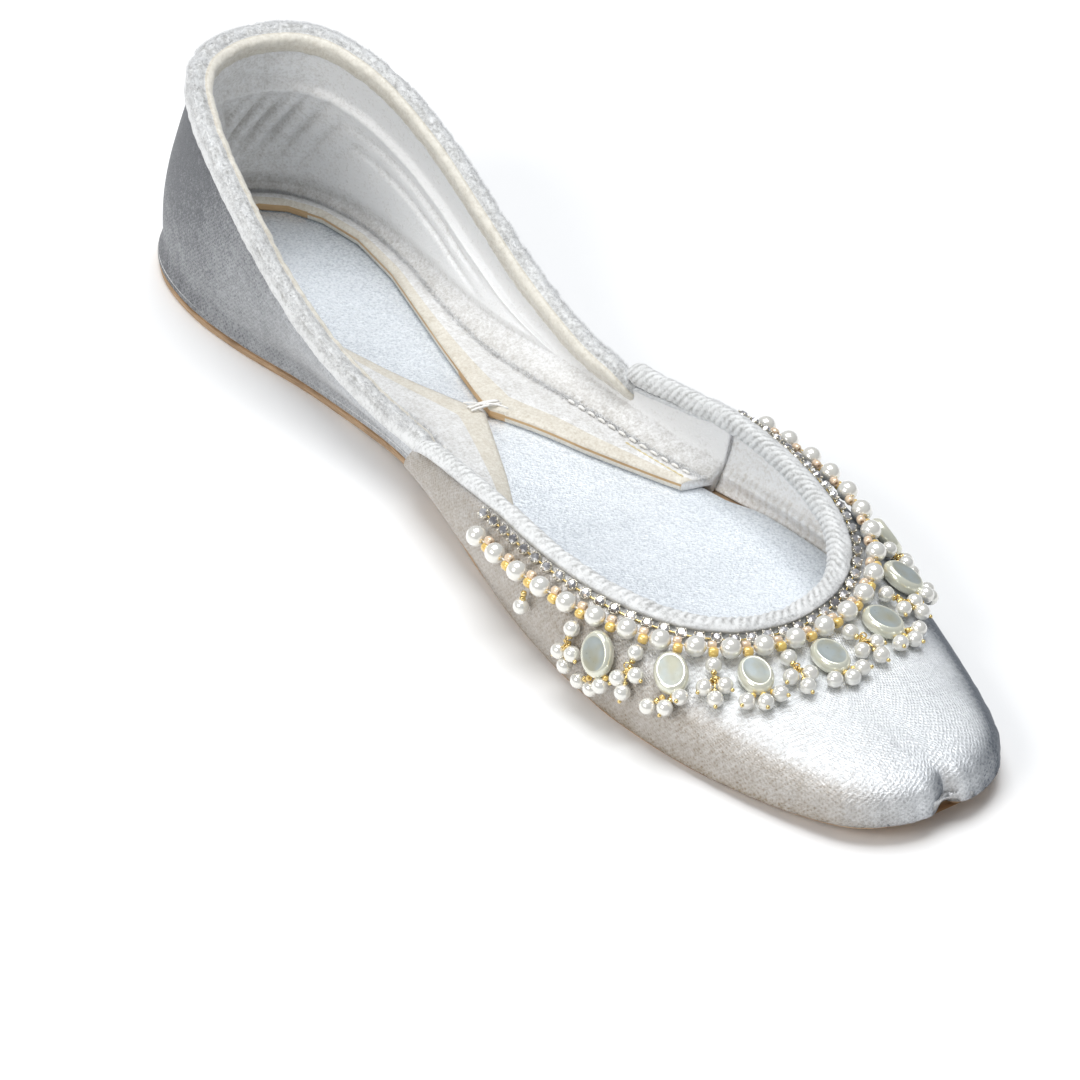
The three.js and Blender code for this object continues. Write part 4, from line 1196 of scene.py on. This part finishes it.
def buildTie():
    x = tie["x"]
    z = float(underside(np.array(x))) + flapTop + tie["lift"]
    entries = []
    for shift, lift in ((-0.9, 0.0), (-0.2, 0.25), (0.6, 0.05)):
        t = np.linspace(-1, 1, 13)
        line = np.stack([x - 1 + shift + 0.5 * t, 3.4 * t, z + lift + 0.3 * (1 - t * t)], -1)
        entries.append((cordForm(line, tie["thread"], 8), 0))
    for dx, dy, dz in ((1.0, 1.2, 0.5), (-0.6, -1.5, 0.4)):
        t = np.linspace(0, 1, 9)
        line = np.stack([x - 0.9 + 4.2 * dx * t, 0.3 * dy + 2.2 * dy * t, z + 0.5 + dz * np.sin(2.6 * t)], -1)
        entries.append((cordForm(line, tie["end"], 7), 0))
    entries.append((aimed(ballForm(tie["knot"], 10, 8), (x - 1.0, 0.0, z + 0.35), (0, 0, 1)), 0))
    pointsOf, facesOf, _ = joinForms(entries)
    return makePiece("tieThread", pointsOf, facesOf, [whiteThread])


settle(buildTie(), "thread", "flap_tie")

stitch = {"from": 8.7, "to": 11.5, "yellowFrom": 10.2, "pitch": 2.9, "length": 1.9, "radius": 0.3,
          "inset": 2.1, "yellowInset": 3.6, "lift": 0.6, "yellowLift": 0.36, "yellowRadius": 0.2}


def buildStitches():
    entries = []
    for mirror in (1, -1):
        u = np.linspace(stitch["from"], stitch["to"], 400) * mirror
        line = footPoint(u, heelWall(u) + stitch["inset"])
        line[:, 2] = underside(smooth(u, "footX")) + flapTop + stitch["lift"]
        run = np.concatenate([[0], np.cumsum(np.linalg.norm(np.diff(line, axis=0), axis=1))])
        for start in np.arange(0.5, run[-1] - stitch["length"], stitch["pitch"]):
            at = np.linspace(start, start + stitch["length"], 7)
            path = np.stack([np.interp(at, run, line[:, k]) for k in range(3)], -1)
            path[:, 2] += 0.22 * np.sin(np.linspace(0, math.pi, 7)) - 0.1
            taper = np.array([0.5, 0.9, 1, 1, 1, 0.9, 0.5])
            entries.append((cordForm(path, stitch["radius"] * taper, 7), 0))
        # a second, yellowish row near the end of the strip
        u = np.linspace(stitch["yellowFrom"], stitch["to"] - 0.1, 200) * mirror
        line = footPoint(u, heelWall(u) + stitch["yellowInset"])
        ripple = 0.1 * np.sin(np.linspace(0, 60, 200))
        line[:, 2] = underside(smooth(u, "footX")) + flapTop + stitch["yellowLift"] + ripple
        entries.append((cordForm(line, stitch["yellowRadius"], 6), 1))
    pointsOf, facesOf, slotsOf = joinForms(entries)
    return makePiece("creaseStitches", pointsOf, facesOf, [whiteThread, yellowThread], slotsOf)


settle(buildStitches(), "thread")


# Floor, light and camera

studio = {"floor": 3.0, "pose": {"azimuth": 51.64, "elevation": 35.541, "roll": 3.694},
          "camera": (0.55931, -0.44205, 0.49713), "focal": 4200.0, "frame": 1080.0}


def buildFloor():
    half = studio["floor"] / 2
    mesh = bpy.data.meshes.new("studioFloor")
    corners = [(-half, -half, 0), (half, -half, 0), (half, half, 0), (-half, half, 0)]
    mesh.from_pydata(corners, [], [(0, 1, 2, 3)])
    floor = bpy.data.objects.new("studioFloor", mesh)
    bpy.context.scene.collection.objects.link(floor)
    material = bpy.data.materials.new("paleFloor")
    material.use_nodes = True
    shader = material.node_tree.nodes["Principled BSDF"]
    shader.inputs["Base Color"].default_value = (0.97, 0.97, 0.97, 1)
    shader.inputs["Roughness"].default_value = 0.9
    mesh.materials.append(material)


def addLight(name, at, target, size, power, colour):
    light = bpy.data.lights.new(name, "AREA")
    light.shape = "RECTANGLE"
    light.size, light.size_y = size
    light.energy = power
    light.color = colour
    lamp = bpy.data.objects.new(name, light)
    lamp.location = at
    lamp.rotation_euler = (Vector(target) - Vector(at)).to_track_quat("-Z", "Y").to_euler()
    bpy.context.scene.collection.objects.link(lamp)


def buildStudio():
    addLight("overhead", (-0.2, 0.05, 1.3), (0, 0, 0), (0.9, 0.9), 13.9, (0.97, 0.985, 1))
    addLight("frontSoftbox", (0.1, -1.1, 0.8), (0.02, 0, 0.02), (0.7, 0.5), 6.8, (1, 0.98, 0.95))
    world = bpy.data.worlds.new("studioAir")
    bpy.context.scene.world = world
    world.use_nodes = True
    world.node_tree.nodes["Background"].inputs[0].default_value = (0.95, 0.97, 1, 1)
    world.node_tree.nodes["Background"].inputs[1].default_value = 0.32


def buildCamera():
    pose = studio["pose"]
    a, e, roll = (math.radians(pose[k]) for k in ("azimuth", "elevation", "roll"))
    back = Vector((math.sin(a) * math.cos(e), -math.cos(a) * math.cos(e), math.sin(e)))
    right = Vector((math.cos(a), math.sin(a), 0))
    up = back.cross(right)
    turnedRight = right * math.cos(roll) + up * math.sin(roll)
    turnedUp = up * math.cos(roll) - right * math.sin(roll)
    camera = bpy.data.cameras.new("photoCamera")
    camera.sensor_width = 36
    camera.lens = studio["focal"] / studio["frame"] * 36
    camera.clip_end = 10
    holder = bpy.data.objects.new("photoCamera", camera)
    basis = Matrix((turnedRight, turnedUp, back)).transposed().to_4x4()
    holder.matrix_world = Matrix.Translation(studio["camera"]) @ basis
    bpy.context.scene.collection.objects.link(holder)
    bpy.context.scene.camera = holder


buildFloor()
buildStudio()
buildCamera()
bpy.context.scene.view_settings.view_transform = "Standard"
print("studio ready")
